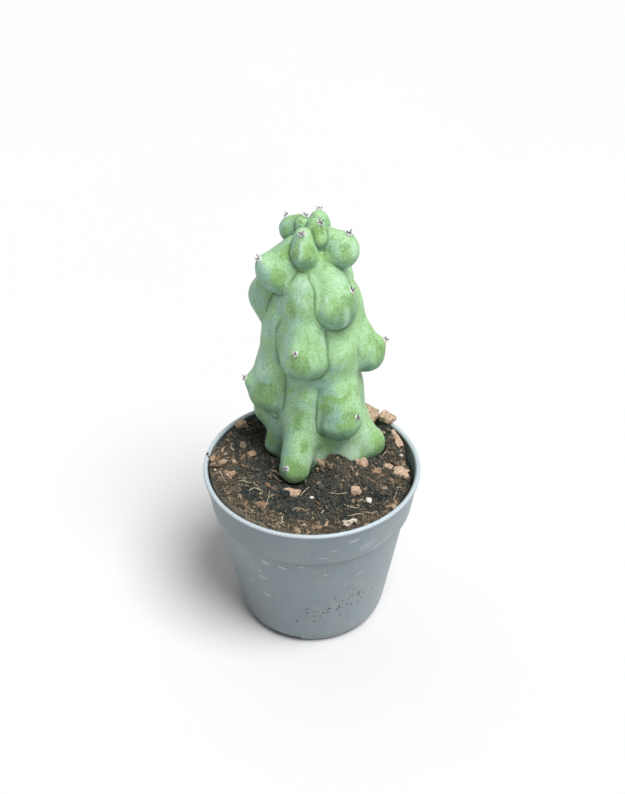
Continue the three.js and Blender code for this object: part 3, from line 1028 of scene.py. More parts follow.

# Patches on the skin: x, y, z, half width, half height, strength.
# Where the bloom is rubbed off (strength above 0) or thick (below 0). The wide thick patch low at
# the front, at height 104, is partly painted light where the lobe above shades the stem.
PATCHES = (
    (-10, 1, 199, 2.9, 7.4, 0.8), (0, 0, 205, 3.1, 5.0, 0.55), (-5, -10, 174, 4.8, 5.4, 0.9),
    (-5, -11, 168, 3.6, 3.2, 0.7), (11, -7, 147, 6.0, 1.6, 1.2), (7, -7, 142, 3.3, 4.0, 1.0),
    (20, -9, 136, 3.3, 5.0, 0.95), (16, -11, 131, 3.6, 3.0, 0.8), (19, -4, 151, 3.8, 3.2, 0.55),
    (-25, 7, 143, 5.8, 6.0, 1.4), (-30, 9, 136, 3.4, 4.8, 1.2), (-23, 12, 109, 2.6, 6.0, 1.0),
    (-29, 21, 120, 3.6, 4.8, 0.9), (-7, -4, 133, 2.2, 8.4, 0.9), (-4, -10, 119, 2.0, 5.8, 1.1),
    (-11, -13, 109, 3.2, 4.8, 0.7), (-6, -15, 104, 5.4, 4.2, 0.8), (38, 12, 105, 3.6, 6.6, 1.4),
    (38, 14, 162, 3.8, 8.0, 1.3), (31, 12, 174, 3.2, 3.2, 0.7), (16, 9, 230, 3.0, 6.4, 0.8),
    (20, 9, 223, 3.0, 3.6, 0.8), (7, 8, 226, 2.8, 5.6, 0.9), (17, -4, 200, 6.0, 8.0, 0.9),
    (-16, 4, 213, 3.8, 5.2, 1.0), (-13, 10, 227, 4.1, 3.6, 0.6), (-13, 21, 233, 2.0, 4.6, 0.7),
    (-5, 17, 238, 2.6, 3.2, 0.7), (4, 12, 237, 2.6, 4.6, 0.8), (-1, 6, 230, 2.2, 5.4, 0.9),
    (-8, 6, 228, 1.6, 4.6, 0.8), (26, 9, 163, 2.8, 4.4, 0.5), (21, 9, 183, 3.2, 3.4, 0.4),
    (-24, 8, 221, 3.4, 6.0, -0.55), (22, 12, 229, 1.8, 5.8, -1.2), (15, 4, 214, 4.8, 4.0, -0.8),
    (8, -2, 206, 0.8, 7.0, -1.4), (-5, 1, 210, 5.6, 6.5, -0.9), (1, -4, 191, 3.2, 4.6, -0.6),
    (-4, 12, 237, 3.8, 2.0, -1.2), (-26, 10, 156, 5.4, 5.4, -0.7), (16, -4, 104, 13.0, 7.0, -1.6),
    (2, -8, 108, 5.0, 6.0, -1.2), (-10, -12, 116, 2.4, 6.0, -0.4), (-9, -13, 108, 3.6, 6.0, 0.5),
    (-3.5, 3, 226, 4.5, 6.0, 0.55), (29, 9, 112, 3.8, 6.6, -1.0), (0, -5, 132, 2.2, 9.4, -0.8),
    (5, -7, 130, 2.4, 3.6, -0.7), (17, -1, 171, 3.2, 4.6, -0.5), (6, -2, 183, 1.6, 7.0, -0.7),
    (-23, 12, 176, 3.0, 11.0, -0.5), (-20, 11, 119, 2.2, 3.6, -0.7), (22, 46, 152, 6.0, 9.0, 0.9),
    (-12, 48, 168, 6.0, 9.0, 0.8), (12, 42, 205, 5.0, 7.0, 0.8), (-22, 44, 110, 5.0, 7.0, 0.9),
    (30, 38, 170, 4.0, 8.0, -0.8), (-26, 34, 140, 5.0, 8.0, -0.8), (6, 48, 130, 6.0, 7.0, -0.7),
)
# Patches of painted shade: darker (above 0), or kept light (below 0).
SHADE_PATCHES = (
    (21, -6, 195, 8.0, 12.0, 0.85), (19, -9, 129, 8.0, 8.0, 0.6), (8, -8, 133, 4.0, 7.0, 0.3),
    (-28, 8, 142, 7.0, 10.0, 0.35), (34, 10, 158, 6.0, 9.0, 0.4), (-26, 12, 206, 5.0, 5.0, 0.3),
    (-22, 12, 160, 4.0, 16.0, 0.25), (14, -4, 103, 15.0, 8.0, -0.75),
    (-1, -8, 106, 5.0, 8.0, -0.5), (1, 2, 210, 9.0, 7.0, -0.4),
)
# Patches of painted shade tint, where the bloom turns bluer as on faces turned from the key light;
# all below 0.
COOL_SHADE_PATCHES = (
    (20, -5, 197, 7.0, 10.0, -0.9), (24, -7, 190, 5.0, 6.0, -0.5), (15, -6, 136, 5.0, 6.0, -0.4),
    (-26, 8, 214, 5.0, 6.0, -0.5), (-26, 6, 153, 4.0, 5.0, -0.4), (2, -10, 160, 5.0, 4.0, -0.3),
)
# Lobes with a faint second fold round them.
FOLDED = ("front_mid", "middle_low", "middle_mid", "left_mid", "left_high", "right_mid", "right_high",
          "right_back_mid", "left_back_mid", "left_back_high", "right_back_high")
# Upright keels: lobe, half width, rise, lowest and highest place from its belly, degrees leftward.
KEELS = (("front_high", 0.85, 0.9, -2.5, 9.5, 2), ("middle_mid", 1.6, 0.35, -9.0, 6.0, 6))


class RoundCone:
    """Two balls and the cone tangent to both."""

    def __init__(self, start: np.ndarray, end: np.ndarray, start_r: float, end_r: float) -> None:
        """Sets the middles and radii of both balls.

        Args:
            start: Middle of the first ball.
            end: Middle of the second ball.
            start_r: Radius of the first ball.
            end_r: Radius of the second ball.
        """
        self.start, self.span = start, end - start
        self.start_r, self.end_r = start_r, end_r
        self.length_sq = float(self.span @ self.span)
        self.drop = start_r - end_r
        self.slant_sq = self.length_sq - self.drop ** 2

    def sample(self, p: np.ndarray) -> tuple[np.ndarray, np.ndarray]:
        """Measures points against the cone.

        Args:
            p: Points, one per row.

        Returns:
            Signed distances, and places along the cone from 0 to 1.
        """
        rel = p - self.start
        y = rel @ self.span
        z = y - self.length_sq
        side = rel * self.length_sq - y[:, None] * self.span
        x2 = (side ** 2).sum(-1)
        k = np.sign(self.drop) * self.drop ** 2 * x2
        y2, z2 = y * y * self.length_sq, z * z * self.length_sq
        d = ((np.sqrt(x2 * self.slant_sq / self.length_sq) + y * self.drop) / self.length_sq
             - self.start_r)
        low = np.sign(y) * self.slant_sq * y2 < k
        d = np.where(low, np.sqrt(x2 + y2) / self.length_sq - self.start_r, d)
        high = np.sign(z) * self.slant_sq * z2 > k
        d = np.where(high, np.sqrt(x2 + z2) / self.length_sq - self.end_r, d)
        return d, np.clip(y / self.length_sq, 0.0, 1.0)


@dataclass
class Cactus:
    """The plant: one skin over stem and lobes, with felt pads and spines."""

    columns: int = 300
    rows: int = 326
    crown_rows: float = 0.17
    foot_rows: float = 0.95
    crown_height: float = 227.0
    foot_height: float = 92.0
    droop: float = -24.0
    relax_rounds: int = 8
    beak_radius: float = 3.2
    beak_blend: float = 5.0
    core_blend: float = 4.0
    foot_blend: float = 5.0
    walk_steps: int = 80
    walk_share: float = 0.85
    lump_rise: float = 0.34
    dimple_rise: float = 0.14
    fold_depth: float = 0.30
    crease_depth: float = 0.42
    draw_in: float = 0.2
    pad_size: Factors = (1.45, 1.45, 0.65)
    wool: int = 60
    spine_length: float = 2
    spine_spread: float = 1.2
    spine_radius: float = 0.46
    spine_lean: float = 52

    def __post_init__(self) -> None:
        """Sets up the stem, the lobes and the reach of each."""
        self.core = [RoundCone(stem_point(0, 0, z0), stem_point(0, 0, z1), r0, r1)
                     for (z0, r0), (z1, r1) in zip(STEM_CORE[:-1], STEM_CORE[1:])]
        self.cones = [RoundCone(lobe.root, lobe.belly, lobe.root_radius, lobe.radius)
                      for lobe in LOBES]
        self.beaks = [lobe.belly + direction(lobe.pad_az, lobe.pad_el)
                      * (lobe.radius + lobe.beak - self.beak_radius) for lobe in LOBES]
        self.middles = [(lobe.root + lobe.belly) / 2 for lobe in LOBES]
        self.reaches = [np.linalg.norm(lobe.root - lobe.belly) / 2 + lobe.beak + 11
                        + max(lobe.radius, lobe.root_radius) for lobe in LOBES]

    def lobe_distance(self, p: np.ndarray, i: int) -> tuple[np.ndarray, np.ndarray]:
        """Distance to one lobe alone.

        Args:
            p: Points, one per row.
            i: Which lobe.

        Returns:
            Signed distances, and places along the lobe.
        """
        d, place = self.cones[i].sample(p)
        if LOBES[i].beak > 0:
            point = np.linalg.norm(p - self.beaks[i], axis=-1) - self.beak_radius
            d = blend(d, point, self.beak_blend)
        return d, place

    def distance(self, p: np.ndarray) -> np.ndarray:
        """Signed distance to the skin.

        Args:
            p: Points, one per row.

        Returns:
            One distance for each point.
        """
        d = self.core_distance(p)
        for i, lobe in enumerate(LOBES):
            near = ((p - self.middles[i]) ** 2).sum(-1) < self.reaches[i] ** 2
            if near.any():
                q, place = self.lobe_distance(p[near], i)
                d[near] = blend(d[near], q, lobe.blend_width(place))
        return -blend(-d, p[:, 2] - STEM_BOTTOM, self.foot_blend)

    def normal(self, p: np.ndarray, e: float = 0.15) -> np.ndarray:
        """Outward unit normals of the skin.

        Args:
            p: Points near the skin.
            e: Step of the difference.

        Returns:
            One direction for each point.
        """
        corners = np.array([(1, -1, -1), (-1, -1, 1), (-1, 1, -1), (1, 1, 1)]) * e
        n = sum(self.distance(p + corner)[:, None] * corner for corner in corners)
        return n / (np.linalg.norm(n, axis=-1, keepdims=True) + 1e-12)

    def walk_out(self, origin: np.ndarray, ray: np.ndarray) -> np.ndarray:
        """Follows rays from inside to the skin.

        Args:
            origin: Starts, one per row.
            ray: Unit directions, one per row.

        Returns:
            The points on the skin.
        """
        reach = np.zeros(len(origin))
        live = np.arange(len(origin))
        for _ in range(self.walk_steps):
            d = -self.distance(origin[live] + ray[live] * reach[live, None])
            reach[live] += np.maximum(d, 0.0) * self.walk_share
            live = live[d > 0.004]
            if not len(live):
                break
        return origin + ray * reach[:, None]

    def skin_net(self) -> tuple[np.ndarray, bmesh.types.BMesh]:
        """Ball whose points are pulled onto the skin.

        Returns:
            The points in mm, and the ball that joins them.
        """
        bm = bmesh.new()
        bmesh.ops.create_uvsphere(bm, u_segments=self.columns, v_segments=self.rows, radius=1.0)
        ball_points = np.array([v.co for v in bm.verts])
        azimuth = np.arctan2(ball_points[:, 0], -ball_points[:, 1])
        row = np.arccos(np.clip(ball_points[:, 2], -1, 1)) / math.pi
        start = self.crown_rows * 0.75
        trunk = np.clip((row - start) / (self.foot_rows - start), 0, 1)
        elevation = np.full(len(row), self.droop)
        crown = row < self.crown_rows
        elevation[crown] = 90 + (self.droop - 90) * np.sin(
            row[crown] / self.crown_rows * math.pi / 2)
        foot = row > self.foot_rows
        elevation[foot] = self.droop - (90 + self.droop) * (
            (row[foot] - self.foot_rows) / (1 - self.foot_rows))
        height = self.crown_height + (self.foot_height - self.crown_height) * trunk
        t = (height - STEM_BASE[2]) / (STEM_TIP[2] - STEM_BASE[2])
        origin = np.stack([STEM_BASE[i] + (STEM_TIP[i] - STEM_BASE[i]) * t for i in (0, 1)]
                          + [height], -1)
        e = np.radians(elevation)
        ray = np.stack([np.sin(azimuth) * np.cos(e), -np.cos(azimuth) * np.cos(e), np.sin(e)], -1)
        points = self.walk_out(origin, ray)
        edges = np.array([[v.index for v in edge.verts] for edge in bm.edges])
        return self.relax(points, edges), bm

    def relax(self, points: np.ndarray, edges: np.ndarray) -> np.ndarray:
        """Evens out the net while keeping it on the skin.

        Args:
            points: Points on the skin.
            edges: Pairs of joined points.

        Returns:
            The moved points.
        """
        degree = np.bincount(edges.ravel(), minlength=len(points)).astype(float)
        for _ in range(self.relax_rounds):
            total = np.zeros_like(points)
            for i in range(3):
                total[:, i] = (np.bincount(edges[:, 0], points[edges[:, 1], i], len(points))
                               + np.bincount(edges[:, 1], points[edges[:, 0], i], len(points)))
            move = total / degree[:, None] - points
            n = self.normal(points)
            points = points + 0.5 * (move - (move * n).sum(-1, keepdims=True) * n)
            points = points - self.distance(points)[:, None] * n
        return points

    def folds(self, p: np.ndarray) -> tuple[np.ndarray, np.ndarray]:
        """Creases round the lobes, and the faint second fold outside each.

        Args:
            p: Points on the skin.

        Returns:
            Crease strength and second-fold strength, 0 to 1 each.
        """
        rows = [self.core_distance(p)]
        places, widths = [np.zeros(len(p))], [np.full(len(p), 9.0)]
        for i, lobe in enumerate(LOBES):
            q, place = self.lobe_distance(p, i)
            rows.append(q)
            places.append(place)
            widths.append(lobe.blend_width(place))
        table = np.stack(rows)
        order = np.argsort(table, axis=0)
        index = np.arange(len(p))
        gap = table[order[1], index] - table[order[0], index]
        width = np.stack(widths)[np.maximum(order[0], order[1]), index]
        crease = 0.86 * np.exp(-(gap / 0.5) ** 2) + 0.14 * np.exp(-(gap / 2.2) ** 2)
        crease = crease * smooth01((4.5 - width) / 3.4)
        fold = np.zeros(len(p))
        for i, lobe in enumerate(LOBES):
            if lobe.name in FOLDED:
                q, place = table[i + 1], places[i + 1]
                line = np.exp(-((q - 2.0) / 0.4) ** 2) + 0.5 * np.exp(-((q - 3.9) / 0.4) ** 2)
                line = line * smooth01((place - 0.35) / 0.35) * (order[0] != i + 1)
                fold = np.maximum(fold, line)
        return crease, fold

    def core_distance(self, p: np.ndarray) -> np.ndarray:
        """Distance to the stem without its lobes.

        Args:
            p: Points, one per row.

        Returns:
            One distance for each point.
        """
        d = None
        for cone in self.core:
            q, _ = cone.sample(p)
            d = q if d is None else blend(d, q, self.core_blend)
        return d

    def build_skin(self) -> bpy.types.Object:
        """Returns:
            The skin as a piece that stands for the node cactus.
        """
        points, bm = self.skin_net()
        normal = self.normal(points)
        crease, fold = self.folds(points)
        lumps = self.lump_rise * noise(points, 0.11, 3)
        lumps = lumps + self.dimple_rise * noise(points, 0.3, 5)
        fold = fold * smooth01(noise(points, 0.09, 8) + 0.55)
        lift = lumps * (1 - crease) - self.fold_depth * fold - self.crease_depth * crease
        keel, keel_highlight = self.keels(points)
        moved = points + normal * (lift + keel - self.draw_in)[:, None]
        for vert, place in zip(bm.verts, moved * MM):
            vert.co = place
        mesh = mesh_from_bmesh("cactus_skin", bm)
        # Painted shade in the creases between lobes and, fainter, along the second folds.
        uneven = 0.78 + 0.22 * noise(points, 0.13, 19)
        set_attribute(mesh, "crease", np.clip(uneven * (crease * 0.95 + fold * 0.4), 0, 0.85))
        set_attribute(mesh, "rub", self.patched(points, PATCHES))
        # Painted shade: faces turned downwards and hollows, where a point 5 mm out lies near the
        # skin, go darker, and the shade patches add to it or take from it.
        hollow = 1 - self.distance(points + normal * 5.0) / 5.0
        under_shade = 0.85 * smooth01((0.42 - normal[:, 2]) / 0.95) + 0.5 * smooth01(hollow)
        set_attribute(mesh, "under", np.clip(under_shade + self.patched(points, SHADE_PATCHES), 0, 1))
        # Painted light and shade: how far each face turns toward the key light, lowered by the cool
        # patches, picks between the yellower and the bluer, shaded bloom.
        light_from = (0.50, -0.25, 0.83)
        sunny = smooth01((normal @ light_from + 0.25) / 1.1)
        set_attribute(mesh, "sunny", sunny + self.patched(points, COOL_SHADE_PATCHES))
        # Painted highlight along the keels.
        set_attribute(mesh, "keel_highlight", keel_highlight)
        return mesh_object("cactus_skin", mesh, SkinFinish().build(), ("cactus",))

    @staticmethod
    def patched(p: np.ndarray, patches: Rows) -> np.ndarray:
        """Adds up soft-edged patches on the skin.

        Args:
            p: Points on the skin.
            patches: Middle, width, height and strength of each.

        Returns:
            Their summed strength at each point.
        """
        wander = np.stack([noise(p, 0.16, 30 + i) for i in range(3)], -1) * 1.2
        total = np.zeros(len(p))
        for x, y, z, width, tall, strength in patches:
            away = np.linalg.norm((p + wander - (x, y, z)) / (width, width * 1.5, tall), axis=-1)
            total = total + strength * (1 - smooth01((away - 0.1) / 1.6))
        return total

    def keels(self, p: np.ndarray) -> tuple[np.ndarray, np.ndarray]:
        """Upright keels below the pads of some lobes.

        Args:
            p: Points on the skin.

        Returns:
            Height of the keel in mm, and the strength of its painted highlight from 0 to 1.
        """
        height, pale = np.zeros(len(p)), np.zeros(len(p))
        for name, width, rise, low, high, turn in KEELS:
            lobe = next(item for item in LOBES if item.name == name)
            az = math.radians(lobe.az - turn)
            rel = p - lobe.belly
            across = rel[:, 0] * math.cos(az) + rel[:, 1] * math.sin(az)
            out = rel[:, 0] * math.sin(az) - rel[:, 1] * math.cos(az)
            line = np.exp(-(across / width) ** 2) * (out > 0.35 * lobe.radius)
            line = line * smooth01((rel[:, 2] - low) / 3) * smooth01((high - rel[:, 2]) / 3)
            line = line * (np.linalg.norm(rel, axis=-1) < lobe.radius * 1.25)
            height += rise * line
            pale = np.maximum(pale, line * 0.6)
        return height, pale

    def pad_places(self) -> tuple[np.ndarray, np.ndarray]:
        """Finds each lobe's growing point.

        Returns:
            Points on the skin and their normals.
        """
        rays = np.array([direction(lobe.pad_az, lobe.pad_el) for lobe in LOBES])
        belly = np.array([lobe.belly for lobe in LOBES])
        reach = np.array([lobe.radius + 10.0 for lobe in LOBES])
        for _ in range(self.walk_steps):
            reach -= self.distance(belly + rays * reach[:, None]) * self.walk_share
        places = belly + rays * reach[:, None]
        return places, self.normal(places)

    def build_pads(self) -> list[bpy.types.Object]:
        """Builds the felt pads with their wool, and the spines.

        Returns:
            The two pieces.
        """
        places, normals = self.pad_places()
        placing = SeededRandom(41)
        rng = np.random.default_rng(97)
        felt, spines = Heap(), Heap()
        base_points, base_faces = ball(3)
        for place, normal in zip(places, normals):
            turn = np.array(Vector((0, 0, 1)).rotation_difference(Vector(normal)).to_matrix())
            lump = base_points * self.pad_size
            lump = lump * (1 + 0.16 * noise(base_points * 3 + place, 0.9, 11))[:, None]
            felt.add((lump @ turn.T + place)[None], base_faces, rng.uniform(0.6, 1.0, 1))
            self.add_wool(felt, place, turn, rng)
            self.add_spines(spines, place, turn, placing)
        return [
            mesh_object("areole_felt", felt.mesh("areole_felt"), PlainFinish(
                "areole_felt", (0.58, 0.55, 0.49), (0.92, 0.91, 0.89), 0.95, 3.0, 0.1).build()),
            mesh_object("spines", spines.mesh("spines"), PlainFinish(
                "spine_horn", (0.004, 0.003, 0.004), (0.02, 0.013, 0.012), 0.5).build()),
        ]

    def add_wool(self, heap: Heap, place: np.ndarray, turn: np.ndarray,
                 rng: np.random.Generator) -> None:
        """Adds short wool hairs to a pad.

        Args:
            heap: Where they go.
            place: Middle of the pad.
            turn: Rotation from +Z to the pad's normal.
            rng: Random source.
        """
        many = self.wool
        angle, lean = rng.uniform(0, 2 * math.pi, many), rng.uniform(0.1, 1.45, many)
        out = np.stack([np.cos(angle) * np.sin(lean), np.sin(angle) * np.sin(lean),
                        np.cos(lean)], -1)
        root = out * (0.9, 0.9, 0.35)
        bend = np.stack([np.cos(angle * 3), np.sin(angle * 3), np.zeros(many)], -1) * 0.3
        length = rng.uniform(0.8, 1.9, many)[:, None]
        paths = np.stack([root, root + out * length * 0.5, root + out * length + bend], 1)
        points, faces = tubes(paths, np.tile((0.09, 0.07, 0.03), (many, 1)), 3)
        heap.add(points @ turn.T + place, faces, rng.uniform(0.7, 1.0, many))

    def add_spines(self, heap: Heap, place: np.ndarray, turn: np.ndarray,
                   random: SeededRandom) -> None:
        """Adds one pad's spines where the solid has them.

        Args:
            heap: Where they go.
            place: Middle of the pad.
            turn: Rotation from +Z to the pad's normal.
            random: Random source shared with the solid.
        """
        count = 3 + math.floor(random.next() * 2)
        start = random.next() * 360
        steps = np.linspace(0, 1, 7)[:, None]
        radii = self.spine_radius * (1 - steps[:, 0]) ** 0.6 + 0.02
        for i in range(count):
            length = self.spine_length + random.next() * self.spine_spread
            lean = math.radians(self.spine_lean * (0.5 + 0.5 * random.next()))
            angle = math.radians(start + 360 / count * i)
            out = np.array([math.sin(lean) * math.cos(angle), math.sin(lean) * math.sin(angle),
                            math.cos(lean)])
            path = out * (steps * (length + 0.5) - 0.5)
            points, faces = tubes(path[None], radii[None], 6)
            heap.add(points @ turn.T + place, faces, np.array([0.2 + 0.5 * (i % 2)]))


# ------------------------------------------------------------------ the pot

@dataclass
class Pot:
    """Thin moulded nursery pot: rolled lip, collar, step, taper, feet and drain holes."""

    sides: int = 240
    notches: int = 6
    first_notch: float = -23.0
    notch_width: float = 19.0
    notch_height: float = 4.5
    drain_radius: float = 4.2
    notch_depth: float = 14.0
    notch_circle: float = 39.0
    drain_circle: float = 24.0
    drill_depth: float = 8.0
    crease_angle: float = 38.0
    specks: int = 150

    def profile(self) -> list[tuple[float, float, float]]:
        """Section of the wall as radius, height and rounding.

        Returns:
            The corners in order, from the underside out, up and back down inside.
        """
        foot = [(33.6, FLOOR_UNDERSIDE, 0.5), (33.6, 0.0, 0.3), (37.7, 0.0, 0.5), (40.0, 1.9, 1.0),
                (41.6, 4.9, 1.2)]
        taper = [(*TAPER_FOOT, 2.0), (53.25, 73.2, 0.05), (53.45, 74.4, 0.05), (*TAPER_HEAD, 0.3)]
        collar = [(53.5, 76.5, 0.15), (55.5, 76.3, 0.2), (56.0, 76.9, 0.35), (56.15, 78.0, 0.05)]
        lip = [(59.1, 97.1, 0.3), (59.8, 97.8, 0.2), (60.0, 98.9, 0.3), (59.7, 99.9, 0.3),
               (58.9, 100.4, 0.35), (57.9, 100.0, 0.3), (57.1, 98.9, 0.3), (57.55, 96.9, 0.3)]
        inside = [(54.4, 78.0, 0.5), (52.3, 75.4, 0.5), (41.5, 9.3, 1.0), (39.9, 6.3, 0.6),
                  (37.8, FLOOR_TOP, 0.5)]
        return foot + taper + collar + lip + inside

    def section(self) -> list[tuple[float, float]]:
        """Section with every corner rounded.

        Returns:
            Radius and height of each point.
        """
        corners = self.profile()
        result = [(0.0, FLOOR_UNDERSIDE)]
        for i, (r, z, rounding) in enumerate(corners):
            before = corners[i - 1][:2] if i else (0.0, FLOOR_UNDERSIDE)
            after = corners[i + 1][:2] if i + 1 < len(corners) else (0.0, FLOOR_TOP)
            here = np.array([r, z])
            legs = [np.array(before) - here, np.array(after) - here]
            cut = [leg / np.linalg.norm(leg) * min(rounding, 0.45 * np.linalg.norm(leg))
                   for leg in legs]
            for t in (0.0, 0.25, 0.5, 0.75, 1.0):
                p = here + cut[0] * (1 - t) ** 2 + cut[1] * t ** 2
                result.append((float(p[0]), float(p[1])))
        result.append((0.0, FLOOR_TOP))
        return result

    def cutters(self) -> bpy.types.Object:
        """Returns:
            One object that holds the notch blocks and the drain drills; the pot removes it after the
            cut.
        """
        bm = bmesh.new()
        for i in range(self.notches):
            azimuth = self.first_notch + 360 / self.notches * i
            side = direction(azimuth, 0) * MM
            spin = Matrix.Rotation(math.radians(azimuth), 4, "Z")
            block = Matrix.Translation(Vector(side * self.notch_circle)) @ spin @ Matrix.Diagonal(
                (self.notch_width * MM, self.notch_depth * MM, 2 * self.notch_height * MM, 1))
            bmesh.ops.create_cube(bm, size=1.0, matrix=block)
            drill = Matrix.Translation(
                Vector(side * self.drain_circle) + Vector((0, 0, FLOOR_TOP * MM)))
            bmesh.ops.create_cone(bm, cap_ends=True, segments=40, radius1=self.drain_radius * MM,
                                  radius2=self.drain_radius * MM, depth=self.drill_depth * MM,
                                  matrix=drill)
        return new_object("pot_cutters", mesh_from_bmesh("pot_cutters", bm))

    def build(self) -> bpy.types.Object:
        """Returns:
            The finished pot, which stands for the node pot.
        """
        bm = bmesh.new()
        verts = [bm.verts.new((r * MM, 0, z * MM)) for r, z in self.section()]
        edges = [bm.edges.new(pair) for pair in zip(verts[:-1], verts[1:])]
        bmesh.ops.spin(bm, geom=verts + edges, cent=(0, 0, 0), axis=(0, 0, 1), dvec=(0, 0, 0),
                       angle=2 * math.pi, steps=self.sides, use_merge=True, use_duplicate=False)
        bmesh.ops.remove_doubles(bm, verts=bm.verts, dist=1e-6)
        bmesh.ops.recalc_face_normals(bm, faces=bm.faces)
        raw = new_object("pot_raw", mesh_from_bmesh("pot_raw", bm))
        cutter = self.cutters()
        cut = raw.modifiers.new("cut", "BOOLEAN")
        cut.operation, cut.solver, cut.object = "DIFFERENCE", "EXACT", cutter
        depsgraph = bpy.context.evaluated_depsgraph_get()
        mesh = bpy.data.meshes.new_from_object(raw.evaluated_get(depsgraph))
        mesh.name = "pot_shell"
        bpy.data.objects.remove(raw)
        bpy.data.objects.remove(cutter)
        mesh.polygons.foreach_set("use_smooth", [True] * len(mesh.polygons))
        mesh.set_sharp_from_angle(angle=math.radians(self.crease_angle))
        p = mesh_points(mesh)
        r = np.hypot(p[:, 0], p[:, 1])
        # Top of the lip: its painted highlight and its dust.
        lip = smooth01((p[:, 2] - 98.8) / 0.7) * smooth01((r - 57.2) / 0.5)
        # Painted shadow in the corner under the collar.
        corner = (smooth01((p[:, 2] - 73.3) / 2.2) * (p[:, 2] < 76.6)) * ((r > 53.0) & (r < 55.7))
        inside = (r < 57.3) & (p[:, 2] > FLOOR_TOP + 1) & (r < 52.4 + (p[:, 2] - 75) * 0.2)
        smear = smooth01((noise(p, 0.35, 21) + 0.35) / 0.5) * smooth01((14 - p[:, 2]) / 12) * 0.25
        set_attribute(mesh, "rim", lip)
        set_attribute(mesh, "corner", corner * 0.6)
        set_attribute(mesh, "dust", np.clip(smear + inside * 0.35, 0, 1))
        return mesh_object("pot_shell", mesh, PotFinish().build(), ("pot",))

    def build_specks(self) -> bpy.types.Object:
        """Returns:
            Crumbs of soil stuck to the wall, most of them in a low arc at the front right.
        """
        rng = np.random.default_rng(5)
        base, faces = ball(1)
        along = rng.random(self.specks)
        stray = rng.random(self.specks) < 0.2
        azimuth = np.where(stray, rng.uniform(-180, 180, self.specks),
                           -17 + 60 * along + rng.normal(0, 5.5, self.specks))
        height = np.where(stray, rng.uniform(6, 72, self.specks),
                          28.0 + 10 * smooth01(along * 1.2 - 0.3)
                          + rng.normal(0, 5.6, self.specks))
        size = 0.16 + 0.44 * rng.random(self.specks) ** 2.6
        flat = base[None] * size[:, None, None] * rng.uniform(0.7, 1.4, (self.specks, 1, 3))
        flat = flat * (1.0, 0.4, 1.0) * (1 + 0.25 * rng.standard_normal((self.specks, len(base), 1)))
        a = np.radians(azimuth)[:, None]
        (low_r, low_z), (high_r, high_z) = TAPER_FOOT, TAPER_HEAD
        radius = low_r + (height - low_z) * (high_r - low_r) / (high_z - low_z)
        x = np.cos(a) * flat[..., 0] + np.sin(a) * (radius[:, None] - flat[..., 1])
        y = np.sin(a) * flat[..., 0] - np.cos(a) * (radius[:, None] - flat[..., 1])
        heap = Heap()
        heap.add(np.stack([x, y, flat[..., 2] + height[:, None]], -1), faces,
                 rng.random(self.specks))
        finish = EarthFinish("wall_soil", (0.095, 0.094, 0.09), (0.24, 0.215, 0.19),
                             (0.15, 0.13, 0.115), 1.6, 0.1)
        return mesh_object("wall_specks", heap.mesh("wall_specks", False), finish.build())


# ------------------------------------------------------------------ compost, bark and grains

@dataclass(frozen=True)
class Chip:
    """One piece of bark lying on the compost."""

    node: str
    x: float
    y: float
    rise: float
    length: float
    width: float
    thickness: float
    heading: float
    pitch: float
    roll: float
    tone: float


CHIPS = tuple(Chip(*row) for row in (
    ("bark_01", -40.3, 34.2, 1.4, 6.2, 5.4, 4.6, 20, 8, 12, 0.75),
    ("bark_02", -52.6, 1.9, 1.2, 5.2, 4.2, 2.8, 84, 10, -14, 0.6),
    ("bark_03", -45.2, 2.4, 1, 5.6, 5.2, 3, 50, 14, 8, 0.55),
    ("bark_04", -46.2, -8, 0.8, 8.6, 3.6, 2.2, 8, 4, 16, 0.45),
    ("bark_05", -10.9, -18.4, 0.8, 8.8, 5, 3.2, -6, 3, 10, 0.6),
    ("bark_06", 23.8, -20.2, 1, 5.4, 4.8, 3.6, 30, 10, 6, 0.65),
    ("bark_07", 20.6, -44.4, 0.7, 10.4, 4.2, 2.2, 12, 4, 10, 1.0),
    ("bark_08", 49.4, -1.6, 1, 8.8, 7, 3.6, -8, 8, 6, 0.85),
    ("bark_09", 42.6, 2.6, 0.7, 5.2, 3.4, 2, -12, 6, 10, 0.95),
    ("bark_10", 27.4, -1.4, 1.2, 7.2, 6.4, 4, 28, 16, 10, 0.5),
    ("bark_11", 35.2, -4.2, 0.5, 5.6, 3.8, 2, 5, 5, 8, 0.3),
    ("bark_12", -27.2, -31.1, 0.2, 6, 4.6, 2.2, -25, 5, 6, 0.2),
    ("bark_13", -34, 13, 0.7, 4.6, 4, 2.4, 40, 8, 8, 0.4),
    ("bark_14", 43.4, 37.4, 10.5, 8.4, 7, 4.4, -48, 2, 4, 0.8),
    ("bark_15", 48.2, 23.4, 2.6, 15.5, 3.8, 2.2, -71, 5, 12, 0.75),
    ("bark_16", 32.9, 44.8, 5.8, 12.4, 8.6, 1.7, -36, 4, 44, 0.7),
))
# Sides of a box split 3 by 2 by 1: axis along a row, axis across the rows, axis the side faces, the
# way that each of these runs, steps along a row and steps across.
BOX_SIDES = ((2, 1, 0, -1, -1, 1, 1, 2), (2, 1, 0, 1, -1, -1, 1, 2), (0, 2, 1, 1, 1, 1, 3, 1),
             (0, 2, 1, 1, -1, -1, 3, 1), (0, 1, 2, 1, -1, 1, 3, 2), (0, 1, 2, -1, -1, -1, 3, 2))
# Pale grains: x, y, radius.
GRAINS = ((30.4, -26.3, 2.0), (-0.2, -23.6, 1.2), (50.4, 13.0, 1.3))


